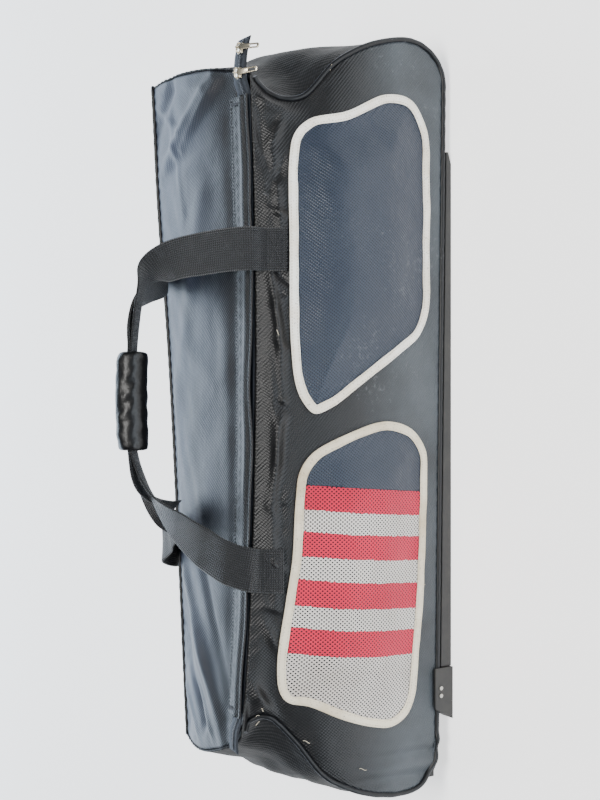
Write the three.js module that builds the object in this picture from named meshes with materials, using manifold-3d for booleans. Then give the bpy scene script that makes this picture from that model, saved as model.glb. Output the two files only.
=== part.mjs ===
// Wheeled kit bag: a hollow sewn shell of coated nylon with pockets, a wrapped carrying handle,
// a covered main zip, plastic runners and two wheels.
// Millimetres. X runs along the bag with the wheels at -X, the front wall faces -Y, +Z is up.
import * as THREE from "three";
import Module from "manifold-3d";

const wasm = await Module();
wasm.setup();

// Shell
const bagLength = 890;          // end seam to end seam along the base
const baseDepth = 330;          // front seam to back seam along the base
const sideHeight = 240;         // cloth of a long wall, base seam to top seam
const cornerRadius = 48;        // lower corners of the long walls
const cloth = 2;                // coated nylon with its backing
const pipeRadius = 3;           // corded seams
const topSag = 15;              // how far the top edges hang at mid length
const sideBelly = 6;            // how far the long walls swell
const topCrown = 9;             // how far the top panel swells
const baseLiftWheel = 18;       // underside of the seam above the floor, wheel end
const baseLiftFar = 6;          // the same at the far end
const tuckLength = 60;          // how far a tucked end draws in the wall beside it
const gap = 0.3;                // clearance between pieces that touch
const lay = 1.0;                // clearance under pieces that lie on curved cloth
const seamRoom = 1.1;          // clearance beside the cord where a seam curves

// Main zip and its flap
const zipWidth = 29;
const zipTape = 1.4;
const teethWidth = 5;
const teethHeight = 1.5;
const zipTail = 40;             // zip past the far end of the top
const zipTailWheel = 14;        // zip past the wheel end
const flapCloth = 2;
const flapLift = 4.6;            // flap above the tape
const flapLap = 10;             // flap sewn on to the top panel
const flapInset = 27;           // flap ends short of the top's own ends
const backZipWidth = 22;
const backZipLength = 690;

// Pockets
const bindingWidth = 10;
const bindingTape = 1.3;
const bindingLeg = 1.8;
const pocketCloth = 1.6;
const pocketPuff = 11;

// Handle
const webbingWidth = 50;
const webbingThickness = 2.5;
const wrapLength = 116;
const wrapDepth = 44;
const wrapThickness = 38;
const wrapRoom = 0.9;            // slack between the straps and the wrap

// Running gear
const runnerWidth = 20;
const runnerInset = 127;        // runner ends short of the far end seam
const footInset = 143;          // foot begins in from the wheel end seam
const footLength = 63;
const footHeight = 27;
const footLip = 3;
const rivetRadius = 2.6;
const rivetHead = 1.2;
const rivetSpacing = 9;
const wheelRadius = 30;
const wheelWidth = 22;
const wheelInset = 20;          // wheel behind the front seam
const wheelSetback = 30;        // axle in from the end seam
const wheelRoom = 4;            // clearance round the wheel
const housingWall = 3;
const axleRadius = 3;

// Sliders
const sliderLength = 13;
const sliderPlate = 1.6;
const sliderRoom = 0.5;
const bailRise = 3.6;
const bailRadius = 0.9;
const bailPost = 2;
const eyeRadius = 2.5;
const tabLength = 30;
const tabWidth = 7;
const tabThickness = 1.3;
const tabDroop = 22;            // degrees toward the tape at rest
const backTabDroop = 8;

// Half depth of the long walls as a share of half the base depth, by height share.
const SIDE_PROFILE = [
  { at: 0.0, front: 1.0, back: 1.0 },
  { at: 0.1, front: 0.985, back: 1.005 },
  { at: 0.25, front: 0.975, back: 1.0 },
  { at: 0.4, front: 0.955, back: 0.99 },
  { at: 0.55, front: 0.93, back: 0.975 },
  { at: 0.7, front: 0.88, back: 0.95 },
  { at: 0.85, front: 0.79, back: 0.9 },
  { at: 0.94, front: 0.71, back: 0.84 },
  { at: 1.0, front: 0.65, back: 0.76 },
];

// The slumped ends: how far the seams recede and tuck in, and how far the end panels swell past them,
// by height share; seams and swell as shares of the bag length, tucks of half the base depth.
const END_SLUMP = [
  { at: 0.0, far: 0, wheel: 0, farTuck: 0, wheelTuck: 0, farSwell: 0, wheelSwell: 0 },
  { at: 0.24, far: 0, wheel: 0, farTuck: 0, wheelTuck: 0, farSwell: 0.012, wheelSwell: 0.01 },
  { at: 0.38, far: 0.008, wheel: 0.006, farTuck: 0.01, wheelTuck: 0.01, farSwell: 0.018, wheelSwell: 0.014 },
  { at: 0.5, far: 0.022, wheel: 0.017, farTuck: 0.03, wheelTuck: 0.03, farSwell: 0.028, wheelSwell: 0.018 },
  { at: 0.62, far: 0.045, wheel: 0.037, farTuck: 0.06, wheelTuck: 0.07, farSwell: 0.04, wheelSwell: 0.024 },
  { at: 0.74, far: 0.084, wheel: 0.08, farTuck: 0.095, wheelTuck: 0.12, farSwell: 0.052, wheelSwell: 0.036 },
  { at: 0.86, far: 0.088, wheel: 0.112, farTuck: 0.095, wheelTuck: 0.15, farSwell: 0.045, wheelSwell: 0.05 },
  { at: 0.94, far: 0.074, wheel: 0.108, farTuck: 0.07, wheelTuck: 0.1, farSwell: 0.03, wheelSwell: 0.04 },
  { at: 1.0, far: 0.056, wheel: 0.084, farTuck: 0, wheelTuck: 0.03, farSwell: 0.01, wheelSwell: 0.016 },
];
const backSlump = 0.42;         // the back seams slump by this share of the front ones

// The rear top edge along the bag: how far it drops and draws in.
const TOP_LINE = [
  { at: -0.5, drop: 0.17, drawIn: 0.19 },
  { at: -0.3, drop: 0.11, drawIn: 0.13 },
  { at: -0.1, drop: 0.06, drawIn: 0.08 },
  { at: 0.1, drop: 0.02, drawIn: 0.04 },
  { at: 0.3, drop: -0.02, drawIn: 0.01 },
  { at: 0.5, drop: -0.03, drawIn: 0 },
];

// Soft folds of the front wall: place, slant in degrees, half length, half width and height.
// Places as shares of bag length and side height, the rest as shares of side height.
const FRONT_FOLDS = [
  { along: 0.4, up: 0.91, slant: 70, reach: 0.12, spread: 0.035, height: 0.034 },
  { along: 0.36, up: 0.96, slant: 12, reach: 0.16, spread: 0.028, height: -0.028 },
  { along: -0.366, up: 0.915, slant: 43, reach: 0.15, spread: 0.03, height: 0.036 },
  { along: -0.385, up: 0.97, slant: 20, reach: 0.12, spread: 0.03, height: -0.03 },
  { along: 0.02, up: 0.95, slant: 0, reach: 1.3, spread: 0.04, height: 0.012 },
];

// Gathers of the front wall beside the wheel.
const gatherPitch = 26;
const gatherHeight = 2.2;
const gatherReach = 85;
const gatherTop = 150;

// Folds that cross the top panel: from one place to another, spread and height.
const TOP_FOLDS = [
  { from: -0.23, fromAcross: 0.85, to: -0.44, toAcross: 0.2, spread: 0.05, height: 0.034 },
  { from: -0.3, fromAcross: 0.95, to: -0.42, toAcross: 0.55, spread: 0.045, height: -0.028 },
  { from: -0.16, fromAcross: 0.7, to: -0.38, toAcross: 0.16, spread: 0.04, height: -0.022 },
  { from: 0.34, fromAcross: 0.95, to: 0.45, toAcross: 0.3, spread: 0.045, height: 0.03 },
  { from: 0.4, fromAcross: 1.0, to: 0.46, toAcross: 0.75, spread: 0.05, height: -0.03 },
  { from: 0.1, fromAcross: 0.75, to: 0.3, toAcross: 0.45, spread: 0.08, height: 0.014 },
];

// Outer outlines of the pockets on a long wall, as shares of bag length and side height.
const NYLON_POCKET = [
  { along: 0.362, up: 0.81 }, { along: 0.382, up: 0.74 }, { along: 0.394, up: 0.57 },
  { along: 0.422, up: 0.353 }, { along: 0.419, up: 0.205 }, { along: 0.383, up: 0.11 },
  { along: 0.317, up: 0.09 }, { along: 0.23, up: 0.088 }, { along: 0.142, up: 0.089 },
  { along: 0.108, up: 0.146 }, { along: 0.084, up: 0.262 }, { along: 0.041, up: 0.5 },
  { along: 0.011, up: 0.663 }, { along: 0.004, up: 0.74 }, { along: 0.019, up: 0.794 },
  { along: 0.041, up: 0.827 }, { along: 0.098, up: 0.85 }, { along: 0.213, up: 0.852 },
  { along: 0.329, up: 0.84 },
];
const MESH_POCKET = [
  { along: -0.071, up: 0.804 }, { along: -0.05, up: 0.758 }, { along: -0.036, up: 0.686 },
  { along: -0.009, up: 0.41 }, { along: -0.008, up: 0.3 }, { along: -0.02, up: 0.18 },
  { along: -0.046, up: 0.1 }, { along: -0.086, up: 0.091 }, { along: -0.193, up: 0.097 },
  { along: -0.299, up: 0.122 }, { along: -0.378, up: 0.154 }, { along: -0.397, up: 0.197 },
  { along: -0.408, up: 0.286 }, { along: -0.404, up: 0.4 }, { along: -0.389, up: 0.568 },
  { along: -0.371, up: 0.712 }, { along: -0.366, up: 0.793 }, { along: -0.351, up: 0.836 },
  { along: -0.311, up: 0.862 }, { along: -0.234, up: 0.845 }, { along: -0.183, up: 0.826 },
  { along: -0.107, up: 0.819 },
];
const BACK_POCKET = [
  { along: 0.1, up: 0.69 }, { along: 0.13, up: 0.64 }, { along: 0.14, up: 0.5 },
  { along: 0.145, up: 0.3 }, { along: 0.135, up: 0.17 }, { along: 0.1, up: 0.12 },
  { along: -0.05, up: 0.11 }, { along: -0.25, up: 0.13 }, { along: -0.33, up: 0.17 },
  { along: -0.355, up: 0.28 }, { along: -0.35, up: 0.46 }, { along: -0.335, up: 0.61 },
  { along: -0.3, up: 0.68 }, { along: -0.2, up: 0.7 }, { along: -0.05, up: 0.7 },
];
const yokeEdge = -0.094;        // where the net meets its plain yoke, along the bag

// The straps from patch to patch through the wrap. The first and last rows lie on the wall, "up" as a
// share of side height and "off" the wall as a share of the webbing's thickness; free rows give depth
// and height as shares of half the base depth and side height. "turn" swings the width from along the bag (0) to across it (1); "broad" narrows a folded run.
const FRONT_STRAP = [
  { along: 0.214, wall: 1, up: 0.865, off: 0, turn: 0, broad: 1 },
  { along: 0.214, wall: 1, up: 0.92, off: 0, turn: 0, broad: 1 },
  { along: 0.214, wall: 1, up: 0.965, off: 0.4, turn: 0, broad: 1 },
  { along: 0.214, wall: 0, depth: -0.7, up: 1.045, turn: 0, broad: 1 },
  { along: 0.213, wall: 0, depth: -0.6, up: 1.115, turn: 0, broad: 1 },
  { along: 0.21, wall: 0, depth: -0.42, up: 1.19, turn: 0, broad: 1 },
  { along: 0.203, wall: 0, depth: -0.18, up: 1.285, turn: 0.06, broad: 0.95 },
  { along: 0.187, wall: 0, depth: -0.05, up: 1.35, turn: 0.45, broad: 0.78 },
  { along: 0.157, wall: 0, depth: -0.01, up: 1.385, turn: 0.85, broad: 0.64 },
  { along: 0.12, wall: 0, depth: 0.01, up: 1.4, turn: 1, broad: 0.6 },
  { along: 0.09, wall: 0, depth: 0.02, up: 1.408, turn: 1, broad: 0.6 },
  { along: 0.055, wall: 0, depth: 0.03, up: 1.414, turn: 1, broad: 0.6 },
  { along: 0.02, wall: 0, depth: 0.03, up: 1.416, turn: 1, broad: 0.6 },
  { along: -0.015, wall: 0, depth: 0.03, up: 1.412, turn: 1, broad: 0.6 },
  { along: -0.05, wall: 0, depth: 0.02, up: 1.404, turn: 1, broad: 0.6 },
  { along: -0.08, wall: 0, depth: -0.01, up: 1.375, turn: 0.9, broad: 0.64 },
  { along: -0.112, wall: 0, depth: -0.07, up: 1.325, turn: 0.62, broad: 0.76 },
  { along: -0.143, wall: 0, depth: -0.19, up: 1.25, turn: 0.32, broad: 0.9 },
  { along: -0.17, wall: 0, depth: -0.37, up: 1.175, turn: 0.12, broad: 1 },
  { along: -0.188, wall: 0, depth: -0.56, up: 1.11, turn: 0.03, broad: 1 },
  { along: -0.195, wall: 0, depth: -0.69, up: 1.04, turn: 0, broad: 1 },
  { along: -0.197, wall: 1, up: 0.965, off: 0.4, turn: 0, broad: 1 },
  { along: -0.197, wall: 1, up: 0.92, off: 0, turn: 0, broad: 1 },
  { along: -0.197, wall: 1, up: 0.862, off: 0, turn: 0, broad: 1 },
];
const BACK_STRAP = [
  { along: 0.214, wall: 1, up: 0.74, off: 0, turn: 0, broad: 1 },
  { along: 0.214, wall: 1, up: 0.8, off: 0.15, turn: 0, broad: 1 },
  { along: 0.214, wall: 1, up: 0.87, off: 1.8, turn: 0, broad: 1 },
  { along: 0.214, wall: 1, up: 0.95, off: 2.5, turn: 0, broad: 1 },
  { along: 0.214, wall: 0, depth: 0.8, up: 1.045, turn: 0, broad: 1 },
  { along: 0.21, wall: 0, depth: 0.62, up: 1.06, turn: 0, broad: 1 },
  { along: 0.2, wall: 0, depth: 0.44, up: 1.09, turn: 0.12, broad: 0.95 },
  { along: 0.186, wall: 0, depth: 0.3, up: 1.16, turn: 0.4, broad: 0.86 },
  { along: 0.17, wall: 0, depth: 0.19, up: 1.265, turn: 0.7, broad: 0.74 },
  { along: 0.15, wall: 0, depth: 0.1, up: 1.368, turn: 0.92, broad: 0.64 },
  { along: 0.12, wall: 0, depth: 0.05, up: 1.414, turn: 1, broad: 0.6 },
  { along: 0.09, wall: 0, depth: 0.032, up: 1.4188, turn: 1, broad: 0.6 },
  { along: 0.055, wall: 0, depth: 0.042, up: 1.4248, turn: 1, broad: 0.6 },
  { along: 0.02, wall: 0, depth: 0.042, up: 1.4268, turn: 1, broad: 0.6 },
  { along: -0.015, wall: 0, depth: 0.042, up: 1.4228, turn: 1, broad: 0.6 },
  { along: -0.05, wall: 0, depth: 0.034, up: 1.4148, turn: 1, broad: 0.6 },
  { along: -0.08, wall: 0, depth: 0.06, up: 1.388, turn: 0.95, broad: 0.62 },
  { along: -0.101, wall: 0, depth: 0.15, up: 1.31, turn: 0.85, broad: 0.7 },
  { along: -0.121, wall: 0, depth: 0.24, up: 1.2, turn: 0.6, broad: 0.8 },
  { along: -0.142, wall: 0, depth: 0.33, up: 1.1, turn: 0.35, broad: 0.9 },
  { along: -0.165, wall: 0, depth: 0.5, up: 1.055, turn: 0.1, broad: 1 },
  { along: -0.185, wall: 0, depth: 0.68, up: 1.025, turn: 0, broad: 1 },
  { along: -0.197, wall: 1, up: 0.93, off: 2.5, turn: 0, broad: 1 },
  { along: -0.197, wall: 1, up: 0.86, off: 1.8, turn: 0, broad: 1 },
  { along: -0.197, wall: 1, up: 0.79, off: 0.3, turn: 0, broad: 1 },
  { along: -0.197, wall: 1, up: 0.73, off: 0.3, turn: 0, broad: 1 },
];
const strapCross = new THREE.Vector3(0, -0.8, 0.6);

// Colours
const paint = (color, roughness, metalness = 0) => new THREE.MeshStandardMaterial({ color, roughness, metalness });
const NYLON = paint(0x1b2028, 0.55);
const WEBBING = paint(0x0f1114, 0.8);
const PIPING = paint(0x2b3038, 0.6);
const BINDING = paint(0xe4ddcb, 0.85);
const NET = paint(0xd9d4cf, 0.8);
const PADDING = paint(0x14161a, 0.9);
const PLASTIC = paint(0x4b4844, 0.55);
const TYRE = paint(0x2a2a2b, 0.7);
const STEEL = paint(0xa8a6a2, 0.35, 1);
const BRIGHT_METAL = paint(0xcfc6b4, 0.3, 1);
const ZIP = paint(0x23272e, 0.7);

const vec = (x, y, z) => new THREE.Vector3(x, y, z);
const lerp = THREE.MathUtils.lerp;
const group = new THREE.Group();
group.name = "wheeled_kit_bag";

function add(name, geometry, material) {
  const mesh = new THREE.Mesh(geometry, material);
  mesh.name = name;
  group.add(mesh);
  return mesh;
}

// A smooth reading of one column of a table.
function read(table, column, at) {
  const last = table.length - 1;
  const share = Math.min(Math.max(at, table[0].at), table[last].at);
  let i = 0;
  while (i < last - 1 && share > table[i + 1].at) i += 1;
  const slope = (k) => {
    const a = table[Math.max(k - 1, 0)];
    const b = table[Math.min(k + 1, last)];
    return (b[column] - a[column]) / (b.at - a.at);
  };
  const low = table[i];
  const high = table[i + 1];
  const span = high.at - low.at;
  const s = (share - low.at) / span;
  return (1 + 2 * s) * (1 - s) ** 2 * low[column] + s * (1 - s) ** 2 * span * slope(i)
    + s * s * (3 - 2 * s) * high[column] + s * s * (s - 1) * span * slope(i + 1);
}

// Shell shape
const bow = (x) => 1 - Math.min((2 * x / bagLength) ** 2, 1);
const baseLift = (x) => lerp(baseLiftWheel, baseLiftFar, x / bagLength + 0.5);
const sideSlump = (side) => (side === "front" ? 1 : backSlump);

// How far a long wall reaches toward one end at a height, less an allowance measured square to the seam.
function reach(end, side, rise, allowance = 0) {
  if (rise < cornerRadius) {
    const radius = cornerRadius - allowance;
    const drop = Math.min(cornerRadius - rise, radius);
    return bagLength / 2 - cornerRadius + Math.sqrt(radius ** 2 - drop ** 2);
  }
  const at = (height) => bagLength / 2 - bagLength * read(END_SLUMP, end, height / sideHeight) * sideSlump(side);
  const slope = (at(rise + 1) - at(rise - 1)) / 2;
  return at(rise) - allowance * Math.sqrt(1 + slope ** 2);
}

function frontFolds(x, rise) {
  let out = 0;
  for (const fold of FRONT_FOLDS) {
    const a = THREE.MathUtils.degToRad(fold.slant);
    const dx = x - fold.along * bagLength;
    const dz = rise - fold.up * sideHeight;
    const along = (dx * Math.cos(a) + dz * Math.sin(a)) / (fold.reach * sideHeight);
    const across = (dz * Math.cos(a) - dx * Math.sin(a)) / (fold.spread * sideHeight);
    out += fold.height * sideHeight * Math.exp(-(along ** 2) - across ** 2);
  }
  out *= THREE.MathUtils.smoothstep(sideHeight - rise, 0, 14);
  const fromEnd = x + bagLength / 2;
  const fade = Math.max(1 - fromEnd / gatherReach, 0) * Math.max(1 - rise / gatherTop, 0);
  return out + gatherHeight * Math.min(fade * 3, 1) * Math.sin(2 * Math.PI * fromEnd / gatherPitch);
}

// A point on the outside of a long wall.
function wall(side, x, rise) {
  const share = rise / sideHeight;
  const half = baseDepth / 2;
  const slump = sideSlump(side);
  let y = half * read(SIDE_PROFILE, side, share) + sideBelly * Math.sin(Math.PI * Math.min(share, 1)) * bow(x);
  const farAway = Math.max(reach("far", side, rise) - x, 0);
  const wheelAway = Math.max(x + reach("wheel", side, rise), 0);
  y -= half * slump * read(END_SLUMP, "farTuck", share) * Math.exp(-farAway / tuckLength);
  y -= half * slump * read(END_SLUMP, "wheelTuck", share) * Math.exp(-wheelAway / tuckLength);
  let z = baseLift(x) + pipeRadius + rise - topSag * bow(x) * share ** 2;
  if (side === "front") return vec(x, -y - frontFolds(x, rise), z);
  z -= sideHeight * read(TOP_LINE, "drop", x / bagLength) * share ** 2;
  return vec(x, y - half * read(TOP_LINE, "drawIn", x / bagLength) * share ** 2, z);
}

function topFolds(x, across, width) {
  let out = 0;
  for (const fold of TOP_FOLDS) {
    const a = vec(fold.from * bagLength, fold.fromAcross * width, 0);
    const b = vec(fold.to * bagLength, fold.toAcross * width, 0);
    const line = new THREE.Line3(a, b);
    const place = vec(x, across * width, 0);
    const near = line.closestPointToPoint(place, true, vec(0, 0, 0));
    out += fold.height * sideHeight * Math.exp(-((near.distanceTo(place) / (fold.spread * sideHeight)) ** 2));
  }
  return out;
}

// A point on the top, across = 0 at the front edge and 1 at the back edge.
function topPoint(x, across) {
  const front = wall("front", x, sideHeight);
  const back = wall("back", x, sideHeight);
  const p = front.clone().lerp(back, across);
  const zipShare = zipWidth / (back.y - front.y);
  const swell = Math.max(across - zipShare, 0) / (1 - zipShare);
  p.z += 4 * topCrown * swell * (1 - swell) + topFolds(x, across, back.y - front.y) * Math.sin(Math.PI * swell);
  return p;
}

function topReach(end, across) {
  const seam = lerp(reach(end, "front", sideHeight), reach(end, "back", sideHeight), across);
  return seam + 4 * across * (1 - across) * bagLength * read(END_SLUMP, `${end}Swell`, 1);
}

// A point on an end panel: down = 0 at the top, 1 where its lower corner curve meets the base.
function endPoint(end, down, across) {
  const turn = 0.72;
  const sign = end === "far" ? 1 : -1;
  const edge = (side) => {
    if (down <= turn) {
      const rise = lerp(sideHeight, cornerRadius, down / turn);
      return wall(side, sign * reach(end, side, rise), rise);
    }
    const angle = (down - turn) / (1 - turn) * Math.PI / 2;
    const x = bagLength / 2 - cornerRadius + cornerRadius * Math.cos(angle);
    return wall(side, sign * x, cornerRadius - cornerRadius * Math.sin(angle));
  };
  const p = edge("front").lerp(edge("back"), across);
  const share = Math.max(lerp(sideHeight, cornerRadius, down / turn) / sideHeight, 0);
  const swell = bagLength * read(END_SLUMP, `${end}Swell`, share) * Math.max(1 - Math.max(down - turn, 0) * 3, 0);
  p.x += sign * 4 * across * (1 - across) * swell;
  const fade = Math.max(1 - down / (turn * 0.4), 0);
  if (fade > 0) {
    const level = wall("front", sign * reach(end, "front", sideHeight), sideHeight);
    const other = wall("back", sign * reach(end, "back", sideHeight), sideHeight);
    const plain = level.lerp(other, across);
    plain.x += sign * 4 * across * (1 - across) * bagLength * read(END_SLUMP, `${end}Swell`, 1);
    const onTop = topPoint(sign * topReach(end, across), across);
    p.add(onTop.sub(plain).multiplyScalar(fade ** 2));
  }
  return p;
}

// Solids
function signedVolume(points, faces) {
  let sum = 0;
  for (const [a, b, c] of faces) {
    sum += points[a].dot(vec(0, 0, 0).crossVectors(points[b], points[c]));
  }
  return sum / 6;
}

function closed(points, faces) {
  const turned = signedVolume(points, faces) < 0;
  const geometry = new THREE.BufferGeometry();
  geometry.setFromPoints(points);
  geometry.setIndex(faces.flatMap(([a, b, c]) => (turned ? [a, c, b] : [a, b, c])));
  geometry.computeVertexNormals();
  return geometry;
}

// A sheet of even thickness inside a grid of points on its outer face.
function gridSheet(grid, thickness, inward) {
  const rows = grid.length;
  const columns = grid[0].length;
  const points = [];
  for (let j = 0; j < rows; j += 1) points.push(...grid[j]);
  for (let j = 0; j < rows; j += 1) {
    for (let i = 0; i < columns; i += 1) {
      const du = grid[j][Math.min(i + 1, columns - 1)].clone().sub(grid[j][Math.max(i - 1, 0)]);
      const dv = grid[Math.min(j + 1, rows - 1)][i].clone().sub(grid[Math.max(j - 1, 0)][i]);
      const n = vec(0, 0, 0).crossVectors(du, dv).normalize();
      points.push(grid[j][i].clone().addScaledVector(n, inward * thickness));
    }
  }
  const at = (j, i, layer) => layer * rows * columns + j * columns + i;
  const faces = [];
  const quad = (a, b, c, d) => faces.push([a, b, c], [a, c, d]);
  for (let j = 0; j < rows - 1; j += 1) {
    for (let i = 0; i < columns - 1; i += 1) {
      quad(at(j, i, 0), at(j, i + 1, 0), at(j + 1, i + 1, 0), at(j + 1, i, 0));
      quad(at(j, i, 1), at(j + 1, i, 1), at(j + 1, i + 1, 1), at(j, i + 1, 1));
    }
  }
  for (let i = 0; i < columns - 1; i += 1) {
    quad(at(0, i, 0), at(0, i, 1), at(0, i + 1, 1), at(0, i + 1, 0));
    quad(at(rows - 1, i, 0), at(rows - 1, i + 1, 0), at(rows - 1, i + 1, 1), at(rows - 1, i, 1));
  }
  for (let j = 0; j < rows - 1; j += 1) {
    quad(at(j, 0, 0), at(j + 1, 0, 0), at(j + 1, 0, 1), at(j, 0, 1));
    quad(at(j, columns - 1, 0), at(j, columns - 1, 1), at(j + 1, columns - 1, 1), at(j + 1, columns - 1, 0));
  }
  return closed(points, faces);
}

// Shares from 0 to 1, closer together toward both ends.
const shares = (count, crowding = 0) => Array.from({ length: count + 1 }, (_, i) => {
  const t = i / count;
  return t - crowding * Math.sin(2 * Math.PI * t) / (2 * Math.PI);
});

// Rings of points joined into one solid; flat is the ring's own outline, for the two ends.
function loft(rings, flat, loop) {
  const size = flat.length;
  const faces = [];
  const count = loop ? rings.length : rings.length - 1;
  for (let i = 0; i < count; i += 1) {
    const next = (i + 1) % rings.length;
    for (let k = 0; k < size; k += 1) {
      const l = (k + 1) % size;
      faces.push([i * size + k, next * size + k, next * size + l], [i * size + k, next * size + l, i * size + l]);
    }
  }
  if (!loop) {
    const shape = flat.map(([s, t]) => new THREE.Vector2(s, t));
    const from = (rings.length - 1) * size;
    const forward = THREE.ShapeUtils.area(shape) > 0;
    for (const [a, b, c] of THREE.ShapeUtils.triangulateShape(shape, [])) {
      faces.push(forward ? [a, b, c] : [a, c, b]);
      faces.push(forward ? [from + a, from + c, from + b] : [from + a, from + b, from + c]);
    }
  }
  return closed(rings.flat(), faces);
}

// A section of [side, up] points carried along stations with a place and two axes.
function sweep(stations, section, loop) {
  const rings = stations.map(({ p, a, b, shape }) => (shape ?? section).map(
    ([s, t]) => p.clone().addScaledVector(a, s).addScaledVector(b, t)));
  return loft(rings, stations[0].shape ?? section, loop);
}

const roundSection = (radius, sides) => Array.from({ length: sides }, (_, k) => {
  const a = (k + 0.5) / sides * 2 * Math.PI;
  return [radius * Math.cos(a), radius * Math.sin(a)];
});

// Axes for a round cord along points: steady against a fixed direction.
function cordStations(points, loop) {
  const n = points.length;
  return points.map((p, i) => {
    const before = points[loop ? (i + n - 1) % n : Math.max(i - 1, 0)];
    const after = points[loop ? (i + 1) % n : Math.min(i + 1, n - 1)];
    const t = after.clone().sub(before).normalize();
    const b = vec(0, 1, 0).addScaledVector(t, -t.y).normalize();
    return { p, a: vec(0, 0, 0).crossVectors(b, t).normalize(), b };
  });
}

// Panels of the shell
const inset = pipeRadius + gap + seamRoom;

function wallGrid(side, columns, rises) {
  return rises.map((rise) => columns.map((u) => {
    const x = lerp(-reach("wheel", side, rise, inset), reach("far", side, rise, inset), u);
    return wall(side, x, rise);
  }));
}

const riseRows = (list, top) => list.map((share) => lerp(inset, top, share));
const frontRises = riseRows([0, 0.06, 0.17, 0.32, 0.48, 0.61, 0.7, 0.78, 0.87, 0.945, 1], sideHeight - gap);
const backRises = riseRows([0, 0.09, 0.25, 0.42, 0.56, 0.68, 0.78, 0.88, 0.95, 1], sideHeight - inset);
const frontColumns = shares(30, 0.64);
const backColumns = shares(14, 0.4);
const frontGrid = wallGrid("front", frontColumns, frontRises);
const backGrid = wallGrid("back", backColumns, backRises);
add("front_panel", gridSheet(frontGrid, cloth, -1), NYLON);
add("back_panel", gridSheet(backGrid, cloth, 1), NYLON);

// The faceted wall below a place, so that pieces sewn on to it follow it exactly.
function onGrid(grid, x, rise, side) {
  const target = wall(side, x, rise);
  let best = null;
  for (let j = 0; j < grid.length - 1; j += 1) {
    for (let i = 0; i < grid[0].length - 1; i += 1) {
      const corners = [grid[j][i], grid[j][i + 1], grid[j + 1][i + 1], grid[j + 1][i]];
      for (const [a, b, c] of [[0, 1, 2], [0, 2, 3]]) {
        const [A, B, C] = [corners[a], corners[b], corners[c]];
        const d = (B.x - A.x) * (C.z - A.z) - (C.x - A.x) * (B.z - A.z);
        const s = ((target.x - A.x) * (C.z - A.z) - (C.x - A.x) * (target.z - A.z)) / d;
        const t = ((B.x - A.x) * (target.z - A.z) - (target.x - A.x) * (B.z - A.z)) / d;
        const out = Math.max(-s, -t, s + t - 1, 0);
        if (best === null || out < best.out) {
          const y = A.y + s * (B.y - A.y) + t * (C.y - A.y);
          best = { out, p: vec(target.x, out > 0.5 ? target.y : y, target.z) };
        }
      }
    }
  }
  return best.p;
}

function wallNormal(side, x, rise) {
  const du = wall(side, x + 6, rise).sub(wall(side, x - 6, rise));
  const dv = wall(side, x, rise + 6).sub(wall(side, x, rise - 6));
  const n = vec(0, 0, 0).crossVectors(du, dv).normalize();
  return side === "front" ? n : n.negate();
}

// The top panel, behind the zip
function topGrid() {
  return shares(5, 0.35).map((v) => shares(26, 0.5).map((u) => {
    const width = baseDepth * 0.7;
    const across = lerp((zipWidth + 4 * gap) / width, 1 - inset / width, v);
    const x = lerp(-topReach("wheel", across) + 2 * cloth + seamRoom, topReach("far", across) - 2 * cloth - seamRoom, u);
    const front = wall("front", x, sideHeight);
    const back = wall("back", x, sideHeight);
    const real = back.y - front.y;
    return topPoint(x, lerp((zipWidth + 4 * gap) / real, 1 - inset / real, v));
  }));
}
add("top_panel", gridSheet(topGrid(), cloth, -1), NYLON);

// End panels and base
function endGrid(end) {
  return [0.004, 0.04, 0.08, 0.13, 0.18, 0.24, 0.32, 0.42, 0.56, 0.72, 0.81, 0.9, 1].map((down) => shares(7, 0.3).map((v) => {
    const front = endPoint(end, down, 0);
    const back = endPoint(end, down, 1);
    const run = (across) => {
      const t = endPoint(end, Math.min(down + 0.01, 1), across).sub(endPoint(end, Math.max(down - 0.01, 0), across));
      return inset / Math.max(t.normalize().cross(back.clone().sub(front).normalize()).length(), 0.4);
    };
    const width = back.distanceTo(front);
    const corner = 2 * pipeRadius * Math.max(1 - down / 0.12, 0);
    return endPoint(end, down, lerp(run(0) / width, 1 - (run(1) + corner) / width, v));
  }));
}

const baseHalf = bagLength / 2 - cornerRadius;
const baseGrid = shares(3).map((v) => shares(12).map((u) => {
  const x = lerp(-baseHalf + gap, baseHalf - gap, u);
  const front = wall("front", x, 0);
  const back = wall("back", x, 0);
  const width = back.y - front.y;
  return front.lerp(back, lerp(inset / width, 1 - inset / width, v));
}));

function toManifold(geometry) {
  const plain = new wasm.Mesh({
    numProp: 3,
    vertProperties: new Float32Array(geometry.attributes.position.array),
    triVerts: new Uint32Array(geometry.index.array),
  });
  plain.merge();
  return new wasm.Manifold(plain);
}

function fromManifold(solid) {
  const mesh = solid.getMesh();
  const geometry = new THREE.BufferGeometry();
  geometry.setAttribute("position", new THREE.BufferAttribute(new Float32Array(mesh.vertProperties), mesh.numProp));
  geometry.setIndex(Array.from(mesh.triVerts));
  geometry.computeVertexNormals();
  return geometry;
}

const block = (x0, x1, y0, y1, z0, z1) => wasm.Manifold.cube([x1 - x0, y1 - y0, z1 - z0]).translate([x0, y0, z0]);

// Wheels in their housings at the two corners of the wheel end
const wheelX = -bagLength / 2 + wheelSetback;
const wheelY = baseDepth / 2 - wheelInset - wheelWidth / 2;
const housingRadius = wheelRadius + wheelRoom + housingWall;
const housingHalf = wheelWidth / 2 + wheelRoom + housingWall;
const housingFloor = baseLiftWheel - 4;
const rod = (radius, length, sides, x, y, z) => wasm.Manifold.cylinder(length, radius, radius, sides, true)
  .rotate([90, 0, 0]).translate([x, y, z]);

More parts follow.
